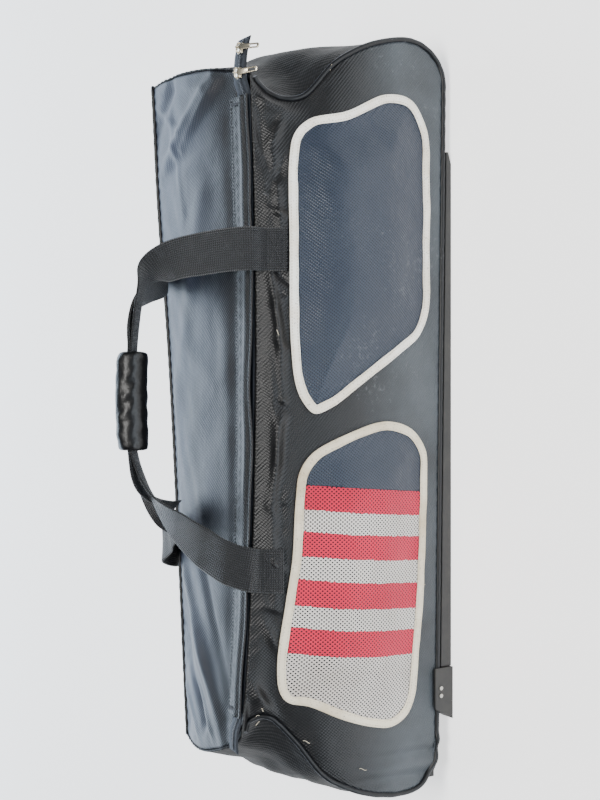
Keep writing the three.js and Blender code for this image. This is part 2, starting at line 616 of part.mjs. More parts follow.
function wheelHousing(y) {
  const outer = rod(housingRadius, housingHalf * 2, 20, wheelX, y, wheelRadius);
  const room = rod(wheelRadius + wheelRoom, (housingHalf - housingWall) * 2, 20, wheelX, y, wheelRadius);
  const wide = housingRadius * 3;
  const below = block(wheelX - wide, wheelX + wide, y - wide, y + wide, -wide, housingFloor);
  const outside = block(wheelX - wide, -bagLength / 2 + 8, y - wide, y + wide, -wide, wide);
  const bore = rod(axleRadius + gap, housingHalf * 3, 16, wheelX, y, wheelRadius);
  return outer.subtract(room).subtract(below).subtract(outside).subtract(bore);
}

let endWheel = toManifold(gridSheet(endGrid("wheel"), cloth, -1));
let base = toManifold(gridSheet(baseGrid, cloth, -1));
for (const side of [-1, 1]) {
  const half = housingHalf + gap;
  const top = wheelRadius + housingRadius + gap;
  const hole = block(wheelX - 90, wheelX + housingRadius + gap, side * wheelY - half, side * wheelY + half, -60, top);
  endWheel = endWheel.subtract(hole);
  base = base.subtract(hole);
}
add("end_panel_far", gridSheet(endGrid("far"), cloth, 1), NYLON);
add("end_panel_wheel", fromManifold(endWheel), NYLON);
add("base_panel", fromManifold(base), NYLON);

for (const [word, side] of [["front", -1], ["back", 1]]) {
  add(`${word}_wheel_housing`, fromManifold(wheelHousing(side * wheelY)), PLASTIC);
  const wheel = rod(wheelRadius, wheelWidth, 24, wheelX, side * wheelY, wheelRadius)
    .subtract(rod(axleRadius + gap, wheelWidth * 2, 16, wheelX, side * wheelY, wheelRadius));
  add(`${word}_wheel`, fromManifold(wheel), TYRE);
  add(`${word}_axle`, fromManifold(rod(axleRadius, housingHalf * 2, 16, wheelX, side * wheelY, wheelRadius)), STEEL);
}

// Piping
function seamPath(side, closedLoop) {
  const points = [];
  const topRise = closedLoop ? sideHeight : sideHeight - 2 * pipeRadius;
  for (const sign of [1, -1]) {
    const end = sign > 0 ? "far" : "wheel";
    const run = [];
    for (const t of [0, 0.06, 0.12, 0.18, 0.24, 0.3, 0.37, 0.44, 0.52, 0.61, 0.71, 0.84, 1]) {
      const rise = lerp(topRise, cornerRadius, t);
      run.push(wall(side, sign * reach(end, side, rise), rise));
    }
    for (const t of [0.2, 0.4, 0.6, 0.8, 1]) {
      const a = t * Math.PI / 2;
      const x = bagLength / 2 - cornerRadius + cornerRadius * Math.cos(a);
      run.push(wall(side, sign * x, cornerRadius * (1 - Math.sin(a))));
    }
    if (sign > 0) {
      points.push(...run);
      for (let k = 1; k < 12; k += 1) points.push(wall(side, lerp(baseHalf, -baseHalf, k / 12), 0));
    } else {
      points.push(...run.reverse());
    }
  }
  if (closedLoop) {
    const from = -reach("wheel", side, sideHeight);
    const to = reach("far", side, sideHeight);
    for (let k = 1; k < 18; k += 1) points.push(wall(side, lerp(from, to, k / 18), sideHeight));
  }
  return points;
}
add("front_piping", sweep(cordStations(seamPath("front", false), false), roundSection(pipeRadius, 5), false), PIPING);
add("back_piping", sweep(cordStations(seamPath("back", true), true), roundSection(pipeRadius, 5), true), PIPING);

// Main zip: tape with raised teeth, lifted over both ends of the top
function zipPlace(x, across, lift) {
  const sign = Math.sign(x);
  const end = sign > 0 ? "far" : "wheel";
  const limit = reach(end, "front", sideHeight);
  const inside = Math.min(Math.abs(x), limit) * sign;
  const past = Math.abs(x) - limit;
  const front = wall("front", inside, sideHeight);
  const back = wall("back", inside, sideHeight);
  const width = back.y - front.y;
  const p = front.clone().lerp(back, across * zipWidth / width);
  const ride = THREE.MathUtils.smoothstep(past, -24, -9) * (cloth + 7 * gap);
  p.x = x;
  p.z += lift + ride - Math.max(past, 0) ** 2 * 0.004;
  return p;
}

const zipFrom = -reach("wheel", "front", sideHeight) - zipTailWheel;
const zipTo = reach("far", "front", sideHeight) + zipTail;
const zipStations = shares(26, 0.6).map((u) => lerp(zipFrom, zipTo, u));
const teethShare = teethWidth / zipWidth / 2;
const edgeShare = (cloth + gap) / zipWidth;
const ZIP_PROFILE = [
  [edgeShare, 0], [0.5 - teethShare, 0], [0.5 - teethShare, teethHeight], [0.5 + teethShare, teethHeight],
  [0.5 + teethShare, 0], [1 - gap / zipWidth, 0], [1 - gap / zipWidth, -zipTape], [edgeShare, -zipTape],
];
const zipRings = zipStations.map((x) => ZIP_PROFILE.map(([across, lift]) => zipPlace(x, across, lift)));
add("main_zip", loft(zipRings, ZIP_PROFILE, false), ZIP);

// Storm flap: sewn to the top panel, standing over the zip
const flapFrom = -reach("wheel", "front", sideHeight) + flapInset;
const flapTo = reach("far", "front", sideHeight) - flapInset;
const FLAP = [
  { across: 1 + flapLap / zipWidth, lift: lay },
  { across: 1 + 1.5 / zipWidth, lift: lay },
  { across: 0.82, lift: 0.62 * flapLift },
  { across: 0.46, lift: flapLift },
  { across: 0.03, lift: 0.6 * flapLift },
];
const flapGrid = FLAP.map(({ across, lift }) => shares(22, 0.3).map((u) => {
  const x = lerp(flapFrom, flapTo, u);
  const width = wall("back", x, sideHeight).y - wall("front", x, sideHeight).y;
  const base = across > 1 ? topPoint(x, across * zipWidth / width) : zipPlace(x, across, 0);
  const ripple = across < 0.9 ? 0.9 * Math.sin(x / 31) + 0.6 * Math.sin(x / 17) : 0;
  return base.add(vec(0, 0, lift + ripple + flapCloth));
}));
add("zip_storm_flap", gridSheet(flapGrid, flapCloth, 1), NYLON);

// Zip along the rear top edge
const backZipFrom = 0.392 * bagLength - backZipLength;
const backZipStations = shares(16).map((u) => lerp(backZipFrom, backZipFrom + backZipLength, u));
const backZipTop = sideHeight - inset - 3;
const toothFrom = (backZipWidth - teethWidth) / 2;
const toothTo = (backZipWidth + teethWidth) / 2;
const BACK_ZIP_PROFILE = [
  [0, zipTape], [toothFrom, zipTape], [toothFrom, zipTape + teethHeight], [toothTo, zipTape + teethHeight],
  [toothTo, zipTape], [backZipWidth, zipTape], [backZipWidth, 0], [toothTo, 0], [toothFrom, 0], [0, 0],
];
function backZipPlace(x, down, lift) {
  const p = onGrid(backGrid, x, backZipTop - down, "back");
  return p.addScaledVector(wallNormal("back", x, backZipTop - down), lift + lay);
}
const backZipRings = backZipStations.map((x) => BACK_ZIP_PROFILE.map(([down, lift]) => backZipPlace(x, down, lift)));
add("back_zip", loft(backZipRings, BACK_ZIP_PROFILE, false), ZIP);

// Pockets
function outline(table, count) {
  const knots = table.map(({ along, up }) => vec(along * bagLength, up * sideHeight, 0));
  const curve = new THREE.CatmullRomCurve3(knots, true, "centripetal");
  return curve.getSpacedPoints(count).slice(0, count);
}

// Outline moved inward by an even distance, on the flat of the wall.
function shrink(points, distance) {
  const n = points.length;
  let area = 0;
  for (let i = 0; i < n; i += 1) {
    const a = points[i];
    const b = points[(i + 1) % n];
    area += a.x * b.y - b.x * a.y;
  }
  const sign = Math.sign(area);
  return points.map((p, i) => {
    const t = points[(i + 1) % n].clone().sub(points[(i + n - 1) % n]).normalize();
    return vec(p.x - sign * t.y * distance, p.y + sign * t.x * distance, 0);
  });
}

const pocketBottom = 1.25 * lay;
const pocketTopFace = pocketBottom + pocketCloth;
const bindingUnder = pocketTopFace + 5 * gap;

function binding(side, grid, table, count) {
  const outer = outline(table, count);
  const inner = shrink(outer, 1);
  const stations = outer.map((q, i) => {
    const p = onGrid(grid, q.x, q.y, side);
    const b = wallNormal(side, q.x, q.y);
    const step = wall(side, inner[i].x, inner[i].y).sub(wall(side, q.x, q.y));
    const a = step.addScaledVector(b, -step.dot(b)).normalize();
    return { p, a, b };
  });
  const top = bindingUnder + bindingTape;
  const section = [
    [0, pocketBottom], [bindingLeg, pocketBottom], [bindingLeg, bindingUnder], [bindingWidth, bindingUnder],
    [bindingWidth, top], [0, top],
  ];
  return sweep(stations, section, true);
}

// Pocket cloth: rings from the bound edge in to a middle patch, swelling off the wall.
function pocketCloths(side, grid, table, count, puff) {
  const edge = shrink(outline(table, count), bindingLeg + 2 * gap);
  const box = new THREE.Box3().setFromPoints(edge);
  const mid = box.getCenter(vec(0, 0, 0));
  const size = box.getSize(vec(0, 0, 0));
  const spine = (size.x - size.y) / 2 * 0.9;
  const rings = [1, 0.9, 0.6, 0.27];
  const place = (q, r, layer) => {
    const root = vec(THREE.MathUtils.clamp(q.x, mid.x - spine, mid.x + spine), mid.y, 0);
    const at = root.lerp(q, r);
    const swell = puff * (1 - THREE.MathUtils.smoothstep(r, 0.2, 0.93));
    const p = onGrid(grid, at.x, at.y, side);
    return p.addScaledVector(wallNormal(side, at.x, at.y), pocketBottom + swell + layer * pocketCloth);
  };
  const points = [];
  for (const layer of [1, 0]) {
    for (const r of rings) for (const q of edge) points.push(place(q, r, layer));
  }
  const at = (ring, i, layer) => (layer * rings.length + ring) * count + (i % count);
  const faces = [];
  for (let ring = 0; ring < rings.length - 1; ring += 1) {
    for (let i = 0; i < count; i += 1) {
      faces.push([at(ring, i, 0), at(ring, i + 1, 0), at(ring + 1, i + 1, 0)]);
      faces.push([at(ring, i, 0), at(ring + 1, i + 1, 0), at(ring + 1, i, 0)]);
      faces.push([at(ring, i, 1), at(ring + 1, i + 1, 1), at(ring, i + 1, 1)]);
      faces.push([at(ring, i, 1), at(ring + 1, i, 1), at(ring + 1, i + 1, 1)]);
    }
  }
  for (let i = 0; i < count; i += 1) {
    faces.push([at(0, i, 0), at(0, i, 1), at(0, i + 1, 1)]);
    faces.push([at(0, i, 0), at(0, i + 1, 1), at(0, i + 1, 0)]);
  }
  const last = rings.length - 1;
  const flat = edge.map((q) => {
    const root = vec(THREE.MathUtils.clamp(q.x, mid.x - spine, mid.x + spine), mid.y, 0);
    const p = root.lerp(q, rings[last]);
    return new THREE.Vector2(p.x, p.y);
  });
  const forward = THREE.ShapeUtils.area(flat) > 0;
  for (const [a, b, c] of THREE.ShapeUtils.triangulateShape(flat, [])) {
    const [u, v, w] = forward ? [a, b, c] : [a, c, b];
    faces.push([at(last, u, 0), at(last, v, 0), at(last, w, 0)]);
    faces.push([at(last, u, 1), at(last, w, 1), at(last, v, 1)]);
  }
  return closed(points, faces);
}

function splitAt(geometry, x, lean) {
  const solid = toManifold(geometry);
  const normal = vec(1, 0, lean).normalize();
  const offset = normal.x * x + normal.z * sideHeight / 2;
  const seam = gap / 2;
  const net = solid.trimByPlane([-normal.x, 0, -normal.z], -(offset - seam));
  const plain = solid.trimByPlane([normal.x, 0, normal.z], offset + seam);
  return [fromManifold(net), fromManifold(plain)];
}

const steps = 40;
add("nylon_pocket_binding", binding("front", frontGrid, NYLON_POCKET, steps), BINDING);
add("nylon_pocket", pocketCloths("front", frontGrid, NYLON_POCKET, steps, pocketPuff), NYLON);
add("mesh_pocket_binding", binding("front", frontGrid, MESH_POCKET, steps), BINDING);
const [net, yoke] = splitAt(pocketCloths("front", frontGrid, MESH_POCKET, steps, pocketPuff), yokeEdge * bagLength, -0.08);
add("mesh_pocket", net, NET);
add("mesh_pocket_yoke", yoke, NYLON);
add("back_pocket_binding", binding("back", backGrid, BACK_POCKET, 34), BINDING);
add("back_mesh_pocket", pocketCloths("back", backGrid, BACK_POCKET, 34, pocketPuff), NET);

// Straps
function strapStations(table, side, grid) {
  const knots = [];
  const widths = [];
  for (const row of table) {
    const x = row.along * bagLength;
    if (row.wall) {
      const p = onGrid(grid, x, row.up * sideHeight, side);
      p.addScaledVector(wallNormal(side, x, row.up * sideHeight), lay + webbingThickness * (0.5 + row.off));
      knots.push(p);
    } else {
      knots.push(vec(x, row.depth * baseDepth / 2, row.up * sideHeight));
    }
    widths.push(vec(1, 0, 0).lerp(strapCross, row.turn).normalize());
  }
  const curve = new THREE.CatmullRomCurve3(knots, false, "centripetal");
  const count = (table.length - 1) * 2;
  const stations = [];
  for (let i = 0; i <= count; i += 1) {
    const u = i / count;
    const t = curve.getTangent(u);
    const k = Math.min(Math.floor(u * (table.length - 1)), table.length - 2);
    const f = u * (table.length - 1) - k;
    const w = widths[k].clone().lerp(widths[k + 1], f);
    w.addScaledVector(t, -w.dot(t)).normalize();
    const broad = lerp(table[k].broad, table[k + 1].broad, f) * webbingWidth / 2;
    stations.push({ p: curve.getPoint(u), a: w, b: vec(0, 0, 0).crossVectors(t, w) });
    const h = webbingThickness / 2;
    stations[i].shape = [[-broad, -h], [broad, -h], [broad, h], [-broad, h]];
  }
  return { stations, curve };
}
const strapCurves = [];

for (const [word, table, grid] of [["front", FRONT_STRAP, frontGrid], ["back", BACK_STRAP, backGrid]]) {
  const { stations, curve } = strapStations(table, word, grid);
  strapCurves.push(curve);
  add(`${word}_webbing`, sweep(stations, null, false), WEBBING);
}

// Padded wrap round both straps
function wrapMesh() {
  const table = FRONT_STRAP.filter((row) => Math.abs(row.along - 0.02) < 0.001);
  const centreRow = table[0];
  const up = vec(0, -strapCross.z * -1, -strapCross.y * 1);
  const half = webbingThickness + gap + wrapRoom;
  const broad = centreRow.broad * webbingWidth / 2 + wrapRoom;
  const sides = 12;
  const rows = [
    { at: 0, grow: 0.86 }, { at: 0.03, grow: 0.97 }, { at: 0.15, grow: 1 }, { at: 0.35, grow: 0.985 },
    { at: 0.55, grow: 1 }, { at: 0.75, grow: 0.985 }, { at: 0.9, grow: 1 }, { at: 0.97, grow: 0.97 }, { at: 1, grow: 0.86 },
  ];
  const points = [];
  const centre = (x) => {
    const sum = vec(0, 0, 0);
    for (const curve of strapCurves) {
      let low = 0.25;
      let high = 0.75;
      for (let k = 0; k < 30; k += 1) {
        const mid = (low + high) / 2;
        if (curve.getPoint(mid).x > x) low = mid;
        else high = mid;
      }
      sum.add(curve.getPoint(low));
    }
    return sum.multiplyScalar(1 / strapCurves.length);
  };
  for (const { at, grow } of rows) {
    const x = centreRow.along * bagLength + (at - 0.5) * wrapLength;
    const c = centre(x);
    for (const ring of ["outer", "inner"]) {
      for (let k = 0; k < sides; k += 1) {
        const a = (k + 0.5) / sides * 2 * Math.PI;
        const cos = Math.cos(a);
        const sin = Math.sin(a);
        let s = wrapDepth / 2 * grow * cos;
        let t = wrapThickness / 2 * grow * sin;
        if (ring === "inner") {
          const corner = Math.abs(sin) > 0.6;
          s = Math.sign(cos) * broad * (Math.abs(cos) > 0.6 ? 1 : 0.35);
          t = Math.sign(sin) * half * (corner ? 1 : 0.4);
        }
        points.push(c.clone().addScaledVector(strapCross, s).addScaledVector(up, t));
      }
    }
  }
  const faces = [];
  const at = (i, ring, k) => (i * 2 + ring) * sides + (k % sides);
  for (let i = 0; i < rows.length - 1; i += 1) {
    for (let k = 0; k < sides; k += 1) {
      faces.push([at(i, 0, k), at(i + 1, 0, k), at(i + 1, 0, k + 1)], [at(i, 0, k), at(i + 1, 0, k + 1), at(i, 0, k + 1)]);
      faces.push([at(i, 1, k), at(i + 1, 1, k + 1), at(i + 1, 1, k)], [at(i, 1, k), at(i, 1, k + 1), at(i + 1, 1, k + 1)]);
    }
  }
  const last = rows.length - 1;
  for (let k = 0; k < sides; k += 1) {
    faces.push([at(0, 0, k), at(0, 0, k + 1), at(0, 1, k + 1)], [at(0, 0, k), at(0, 1, k + 1), at(0, 1, k)]);
    faces.push([at(last, 0, k), at(last, 1, k + 1), at(last, 0, k + 1)], [at(last, 0, k), at(last, 1, k), at(last, 1, k + 1)]);
  }
  return closed(points, faces);
}
add("handle_wrap", wrapMesh(), PADDING);

// Runners, feet and rivets
const runnerFarEnd = bagLength / 2 - runnerInset;
const footStart = -bagLength / 2 + footInset;
for (const [word, side] of [["front", -1], ["back", 1]]) {
  const x0 = footStart + gap;
  const profile = [[x0, 0], [runnerFarEnd - 14, 0], [runnerFarEnd, baseLift(runnerFarEnd) - gap - 3],
    [runnerFarEnd, baseLift(runnerFarEnd) - gap], [x0, baseLift(x0) - gap]];
  const outer = baseDepth / 2 + pipeRadius;
  const y0 = side < 0 ? -outer : outer - runnerWidth;
  const ends = [y0, y0 + runnerWidth].map((y) => ({ p: vec(0, y, 0), a: vec(1, 0, 0), b: vec(0, 0, 1) }));
  add(`${word}_runner`, sweep(ends, profile, false), PLASTIC);
  const lip0 = outer + gap;
  const lip1 = lip0 + footLip;
  const low = baseLift(footStart) - gap - 0.5;
  const foot = block(footStart - footLength, footStart, Math.min(side * lip1, side * (lip1 - runnerWidth)),
    Math.max(side * lip1, side * (lip1 - runnerWidth)), 0, footHeight);
  const notch = block(footStart - footLength - 5, footStart + 5, side < 0 ? -lip0 : 0, side < 0 ? 0 : lip0, low, 60);
  const wedge = block(-90, 0, -60, 60, -10, 90).rotate([0, 28, 0]).translate([footStart - footLength, side * lip0, 0]);
  add(`${word}_foot`, fromManifold(foot.subtract(notch).subtract(wedge)), PLASTIC);
  for (const [which, shift] of [["near", 0], ["rear", rivetSpacing]]) {
    const x = footStart - footLength * 0.38 - shift;
    const rivet = rod(rivetRadius, rivetHead, 10, x, side * (lip1 + gap + rivetHead / 2), footHeight - 8);
    add(`${word}_rivet_${which}`, fromManifold(rivet), STEEL);
  }
}

// Sliders and their tabs
function boxAt(centre, axes, size) {
  const matrix = new THREE.Matrix4().makeBasis(axes.x, axes.y, axes.z).setPosition(centre);
  return wasm.Manifold.cube(size, true).transform(matrix.elements);
}

function rodAt(centre, axes, radius, length, sides) {
  const matrix = new THREE.Matrix4().makeBasis(axes.y, axes.z, axes.x).setPosition(centre);
  return wasm.Manifold.cylinder(length, radius, radius, sides, true).transform(matrix.elements);
}

function sliderAndTab(name, tabName, origin, axes, droop) {
  const lift = (up, across = 0, along = 0) => origin.clone().addScaledVector(axes.z, up)
    .addScaledVector(axes.y, across).addScaledVector(axes.x, along);
  const plateLow = teethHeight + sliderRoom;
  const wide = teethWidth + 2 * (sliderRoom + sliderPlate);
  const flange = plateLow - sliderRoom;
  let body = boxAt(lift(plateLow + sliderPlate / 2), axes, [sliderLength, wide, sliderPlate]);
  for (const side of [-1, 1]) {
    const across = side * (wide - sliderPlate) / 2;
    body = body.add(boxAt(lift(sliderRoom + flange / 2 + 0.01, across), axes, [sliderLength, sliderPlate, flange]));
  }
  const top = plateLow + sliderPlate;
  const bar = top + bailRise;
  for (const side of [-1, 1]) {
    const along = side * (sliderLength / 2 - bailPost / 2);
    body = body.add(boxAt(lift(top + bailRise / 2, 0, along), axes, [bailPost, bailPost, bailRise + 2 * bailRadius]));
  }
  body = body.add(rodAt(lift(bar), axes, bailRadius, sliderLength - bailPost, 10));
  add(name, fromManifold(body), BRIGHT_METAL);
  const pivot = lift(bar);
  const down = axes.y.clone().applyAxisAngle(axes.x, THREE.MathUtils.degToRad(droop));
  const tabAxes = { x: axes.x, y: down, z: vec(0, 0, 0).crossVectors(axes.x, down) };
  const eyeLength = sliderLength - 2 * bailPost - 2 * sliderRoom - 2;
  let tab = rodAt(pivot, tabAxes, eyeRadius, eyeLength, 16);
  const reachOut = tabLength / 2 + bailRadius + gap;
  tab = tab.add(boxAt(pivot.clone().addScaledVector(tabAxes.y, reachOut), tabAxes, [tabWidth, tabLength, tabThickness]));
  const keep = boxAt(pivot.clone().addScaledVector(tabAxes.y, 3), tabAxes, [tabWidth * 2, 6, 9]);
  const slim = boxAt(pivot.clone().addScaledVector(tabAxes.y, 3), tabAxes, [eyeLength, 8, 9]);
  tab = tab.subtract(keep.subtract(slim));
  tab = tab.subtract(rodAt(pivot, tabAxes, bailRadius + gap, eyeLength * 2, 12));
  const hole = boxAt(pivot.clone().addScaledVector(tabAxes.y, tabLength - 3), tabAxes, [tabWidth * 0.45, 4, 9]);
  add(tabName, fromManifold(tab.subtract(hole)), BRIGHT_METAL).userData = { pivot, axis: axes.x };
}

function zipAxes(x) {
  const along = zipPlace(x + 5, 0.5, 0).sub(zipPlace(x - 5, 0.5, 0)).normalize();
  const across = zipPlace(x, 0, 0).sub(zipPlace(x, 1, 0));
  across.addScaledVector(along, -across.dot(along)).normalize();
  return { x: along.clone().negate(), y: across, z: vec(0, 0, 0).crossVectors(along.clone().negate(), across) };
}
const sliderPlaces = [["outer", zipTo - 14], ["inner", zipTo - 42]];
for (const [word, x] of sliderPlaces) {
  sliderAndTab(`zip_slider_${word}`, `pull_tab_${word}`, zipPlace(x, 0.5, 0), zipAxes(x), -tabDroop);
}

const backSliderX = backZipFrom + backZipLength - 18;
const backOut = wallNormal("back", backSliderX, backZipTop - backZipWidth / 2);
const backAlong = vec(1, 0, 0).addScaledVector(backOut, -backOut.x).normalize();
const backAxes = { x: backAlong, y: vec(0, 0, 0).crossVectors(backOut, backAlong), z: backOut };
sliderAndTab("back_zip_slider", "back_pull_tab", backZipPlace(backSliderX, backZipWidth / 2, zipTape + 3.5 * gap), backAxes, -backTabDroop);

// The frame's origin is on the floor under the middle of the whole.
const bounds = new THREE.Box3().setFromObject(group);
const middle = bounds.getCenter(vec(0, 0, 0));
group.position.set(-middle.x, -middle.y, -bounds.min.z);

export default group;
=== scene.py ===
# %% [markdown]
# # A wheeled kit bag
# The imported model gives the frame: bodies that move, and plain solids that hold the place of each piece.
# Every piece below is made again as real cloth, tape, thread, metal or moulding, in metres, in that frame.

# %% Load the frame
import math
import bmesh
import bpy
import numpy as np
from mathutils import Matrix, Vector


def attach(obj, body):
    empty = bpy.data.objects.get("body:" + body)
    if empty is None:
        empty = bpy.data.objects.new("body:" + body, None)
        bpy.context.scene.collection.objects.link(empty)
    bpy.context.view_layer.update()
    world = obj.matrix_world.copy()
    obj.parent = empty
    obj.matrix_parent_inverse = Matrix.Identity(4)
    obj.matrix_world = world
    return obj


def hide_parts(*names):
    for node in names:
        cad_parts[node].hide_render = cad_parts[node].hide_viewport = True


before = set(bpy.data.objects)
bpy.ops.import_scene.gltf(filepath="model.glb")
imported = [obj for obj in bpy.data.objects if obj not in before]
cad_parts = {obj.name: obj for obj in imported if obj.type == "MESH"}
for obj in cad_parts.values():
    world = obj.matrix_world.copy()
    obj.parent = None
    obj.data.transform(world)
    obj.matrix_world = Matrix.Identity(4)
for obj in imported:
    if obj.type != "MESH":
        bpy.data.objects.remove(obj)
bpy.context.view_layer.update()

# %% [markdown]
# ## Sizes
# The cloth is drawn in millimetres with the same named sizes as the solids, so that each piece lands in its
# own solid's place. `SHIFT` is the one move from the drawing to the frame, whose origin lies on the floor
# under the middle of the bag.

# %% Named sizes
bagLength, baseDepth, sideHeight, cornerRadius = 890, 330, 240, 48
pipeRadius, topSag, sideBelly, topCrown = 3, 15, 6, 9
baseLiftWheel, baseLiftFar, tuckLength, backSlump = 18, 6, 60, 0.42
zipWidth, zipTail, zipTailWheel, teethWidth, teethHeight = 29, 40, 14, 5, 1.5
flapInset = 27
backZipWidth, backZipLength, backZipBelow = 22, 690, 3
pocketPuff = 11
webbingWidth, webbingThickness = 50, 2.5
wrapLength, wrapDepth, wrapThickness = 116, 44, 38
gatherPitch, gatherHeight, gatherReach, gatherTop = 26, 2.2, 85, 150
creaseGain, creaseFrom, creaseFull = 1.7, 199, 215  # the deep creases lie above the pockets
wheelRadius, wheelWidth, wheelInset, wheelSetback = 30, 22, 20, 30
lay, gap, cloth, seamRoom = 1.0, 0.3, 2, 1.1
SHIFT = np.array([-1.155, -2.414, 0.0])


def frame_points(points):
    """Millimetres of the drawing to metres of the frame."""
    return (np.asarray(points, dtype=float) + SHIFT) / 1000


print("one millimetre is", 1 / 1000, "of the frame's metre")

# %% [markdown]
# ## Camera and light
# The bag stands on its base and the photographer looks down at its front from about 33 degrees, with the
# picture turned so that the far end is up. A long lens keeps the ends nearly parallel. Three large soft
# lamps stand for the overcast light: the widest above, so that the top cloth is the palest.

# %% Camera
elevation = math.radians(33)
back = Vector((0, -math.cos(elevation), math.sin(elevation)))
right = Vector((0, -math.sin(elevation), -math.cos(elevation)))
up = Vector((1, 0, 0))
aim = Vector((-0.0012, -0.0024, 0.130))
camera = bpy.data.objects.new("camera", bpy.data.cameras.new("camera"))
bpy.context.scene.collection.objects.link(camera)
camera.data.sensor_width = 36
camera.data.lens = 36 * 1183.6 / 800
camera.location = aim + 1.5 * back + 0.01774 * right + 0.01901 * up
camera.rotation_mode = "QUATERNION"
camera.rotation_quaternion = Matrix((right, up, back)).transposed().to_quaternion()
camera.data.clip_start, camera.data.clip_end = 0.05, 50
bpy.context.scene.camera = camera
print("camera at", [round(c, 3) for c in camera.location])

# %% Lamps and world


def lamp(name, place, target, size, power, tint=(1, 1, 1)):
    light = bpy.data.objects.new(name, bpy.data.lights.new(name, "AREA"))
    light.data.shape = "RECTANGLE"
    light.data.size, light.data.size_y = size
    light.data.energy, light.data.color = power, tint
    light.location = place
    light.rotation_mode = "QUATERNION"
    light.rotation_quaternion = (Vector(target) - Vector(place)).to_track_quat("-Z", "Y")
    bpy.context.scene.collection.objects.link(light)


lamp("sky_lamp", (0.1, 2.9, 1.15), (0, 0, 0.25), (4.6, 1.5), 150, (0.72, 0.85, 1.0))
lamp("high_lamp", (0.3, -0.9, 2.8), (0, 0, 0.1), (1.7, 1.1), 104, (1.0, 0.985, 0.955))
lamp("low_lamp", (-0.4, -2.4, 0.30), (0, -0.2, 0.1), (3.4, 0.5), 46, (0.80, 0.90, 1.0))
world = bpy.data.worlds.new("studio")
world.use_nodes = True
world.node_tree.nodes["Background"].inputs["Color"].default_value = (0.84, 0.92, 1.0, 1)
world.node_tree.nodes["Background"].inputs["Strength"].default_value = 0.2
bpy.context.scene.world = world

# %% [markdown]
# ## The shape of the shell
# A sewn bag has no plan that a ruler can follow: the walls lean in toward the top, the ends slump, and the
# top edges sag between them. Short tables hold those shares, and `read` draws a smooth curve through any
# column. Everything works on whole arrays, so one call places thousands of points.

# %% Tables of the shell
SIDE = dict(
    at=[0, 0.1, 0.25, 0.4, 0.55, 0.7, 0.85, 0.94, 1],
    front=[1, 0.985, 0.975, 0.955, 0.93, 0.88, 0.79, 0.71, 0.65],
    back=[1, 1.005, 1, 0.99, 0.975, 0.95, 0.9, 0.84, 0.76])
ENDS = dict(
    at=[0, 0.24, 0.38, 0.5, 0.62, 0.74, 0.86, 0.94, 1],
    far=[0, 0, 0.008, 0.022, 0.045, 0.084, 0.088, 0.074, 0.056],
    wheel=[0, 0, 0.006, 0.017, 0.037, 0.08, 0.112, 0.108, 0.084],
    farTuck=[0, 0, 0.01, 0.03, 0.06, 0.095, 0.095, 0.07, 0],
    wheelTuck=[0, 0, 0.01, 0.03, 0.07, 0.12, 0.15, 0.1, 0.03],
    farSwell=[0, 0.012, 0.018, 0.028, 0.04, 0.052, 0.045, 0.03, 0.01],
    wheelSwell=[0, 0.01, 0.014, 0.018, 0.024, 0.036, 0.05, 0.04, 0.016])
TOP_LINE = dict(
    at=[-0.5, -0.3, -0.1, 0.1, 0.3, 0.5],
    drop=[0.17, 0.11, 0.06, 0.02, -0.02, -0.03],
    drawIn=[0.19, 0.13, 0.08, 0.04, 0.01, 0])
FRONT_FOLDS = [  # along, up, slant, reach, spread, height
    (0.4, 0.91, 70, 0.12, 0.035, 0.034), (0.36, 0.96, 12, 0.16, 0.028, -0.028),
    (-0.366, 0.915, 43, 0.15, 0.03, 0.036), (-0.385, 0.97, 20, 0.12, 0.03, -0.03),
    (0.02, 0.95, 0, 1.3, 0.04, 0.012)]
TOP_FOLDS = [  # from, across, to, across, spread, height
    (-0.23, 0.85, -0.44, 0.2, 0.05, 0.034), (-0.3, 0.95, -0.42, 0.55, 0.045, -0.028),
    (-0.16, 0.7, -0.38, 0.16, 0.04, -0.022), (0.34, 0.95, 0.45, 0.3, 0.045, 0.03),
    (0.4, 1.0, 0.46, 0.75, 0.05, -0.03), (0.1, 0.75, 0.3, 0.45, 0.08, 0.014)]


def read(table, column, at):
    """A smooth reading of one column, with the same slopes as the solids have."""
    knots, values = np.asarray(table["at"], float), np.asarray(table[column], float)
    share = np.clip(at, knots[0], knots[-1])
    i = np.clip(np.searchsorted(knots, share, side="left") - 1, 0, len(knots) - 2)
    first, last = np.maximum(np.arange(len(knots)) - 1, 0), np.minimum(np.arange(len(knots)) + 1,
        len(knots) - 1)
    slope = (values[last] - values[first]) / (knots[last] - knots[first])
    span = knots[i + 1] - knots[i]
    s = (share - knots[i]) / span
    return ((1 + 2 * s) * (1 - s) ** 2 * values[i] + s * (1 - s) ** 2 * span * slope[i]
            + s * s * (3 - 2 * s) * values[i + 1] + s * s * (s - 1) * span * slope[i + 1])


print("front wall is", read(SIDE, "front", 0.5).round(3), "of its base depth at half height")

# %% Walls, top and ends


def smooth(value, low, high):
    t = np.clip((value - low) / (high - low), 0, 1)
    return t * t * (3 - 2 * t)


def bow(x):
    return 1 - np.minimum((2 * x / bagLength) ** 2, 1)


def base_lift(x):
    return baseLiftWheel + (baseLiftFar - baseLiftWheel) * (x / bagLength + 0.5)


def slump_of(side):
    return 1 if side == "front" else backSlump


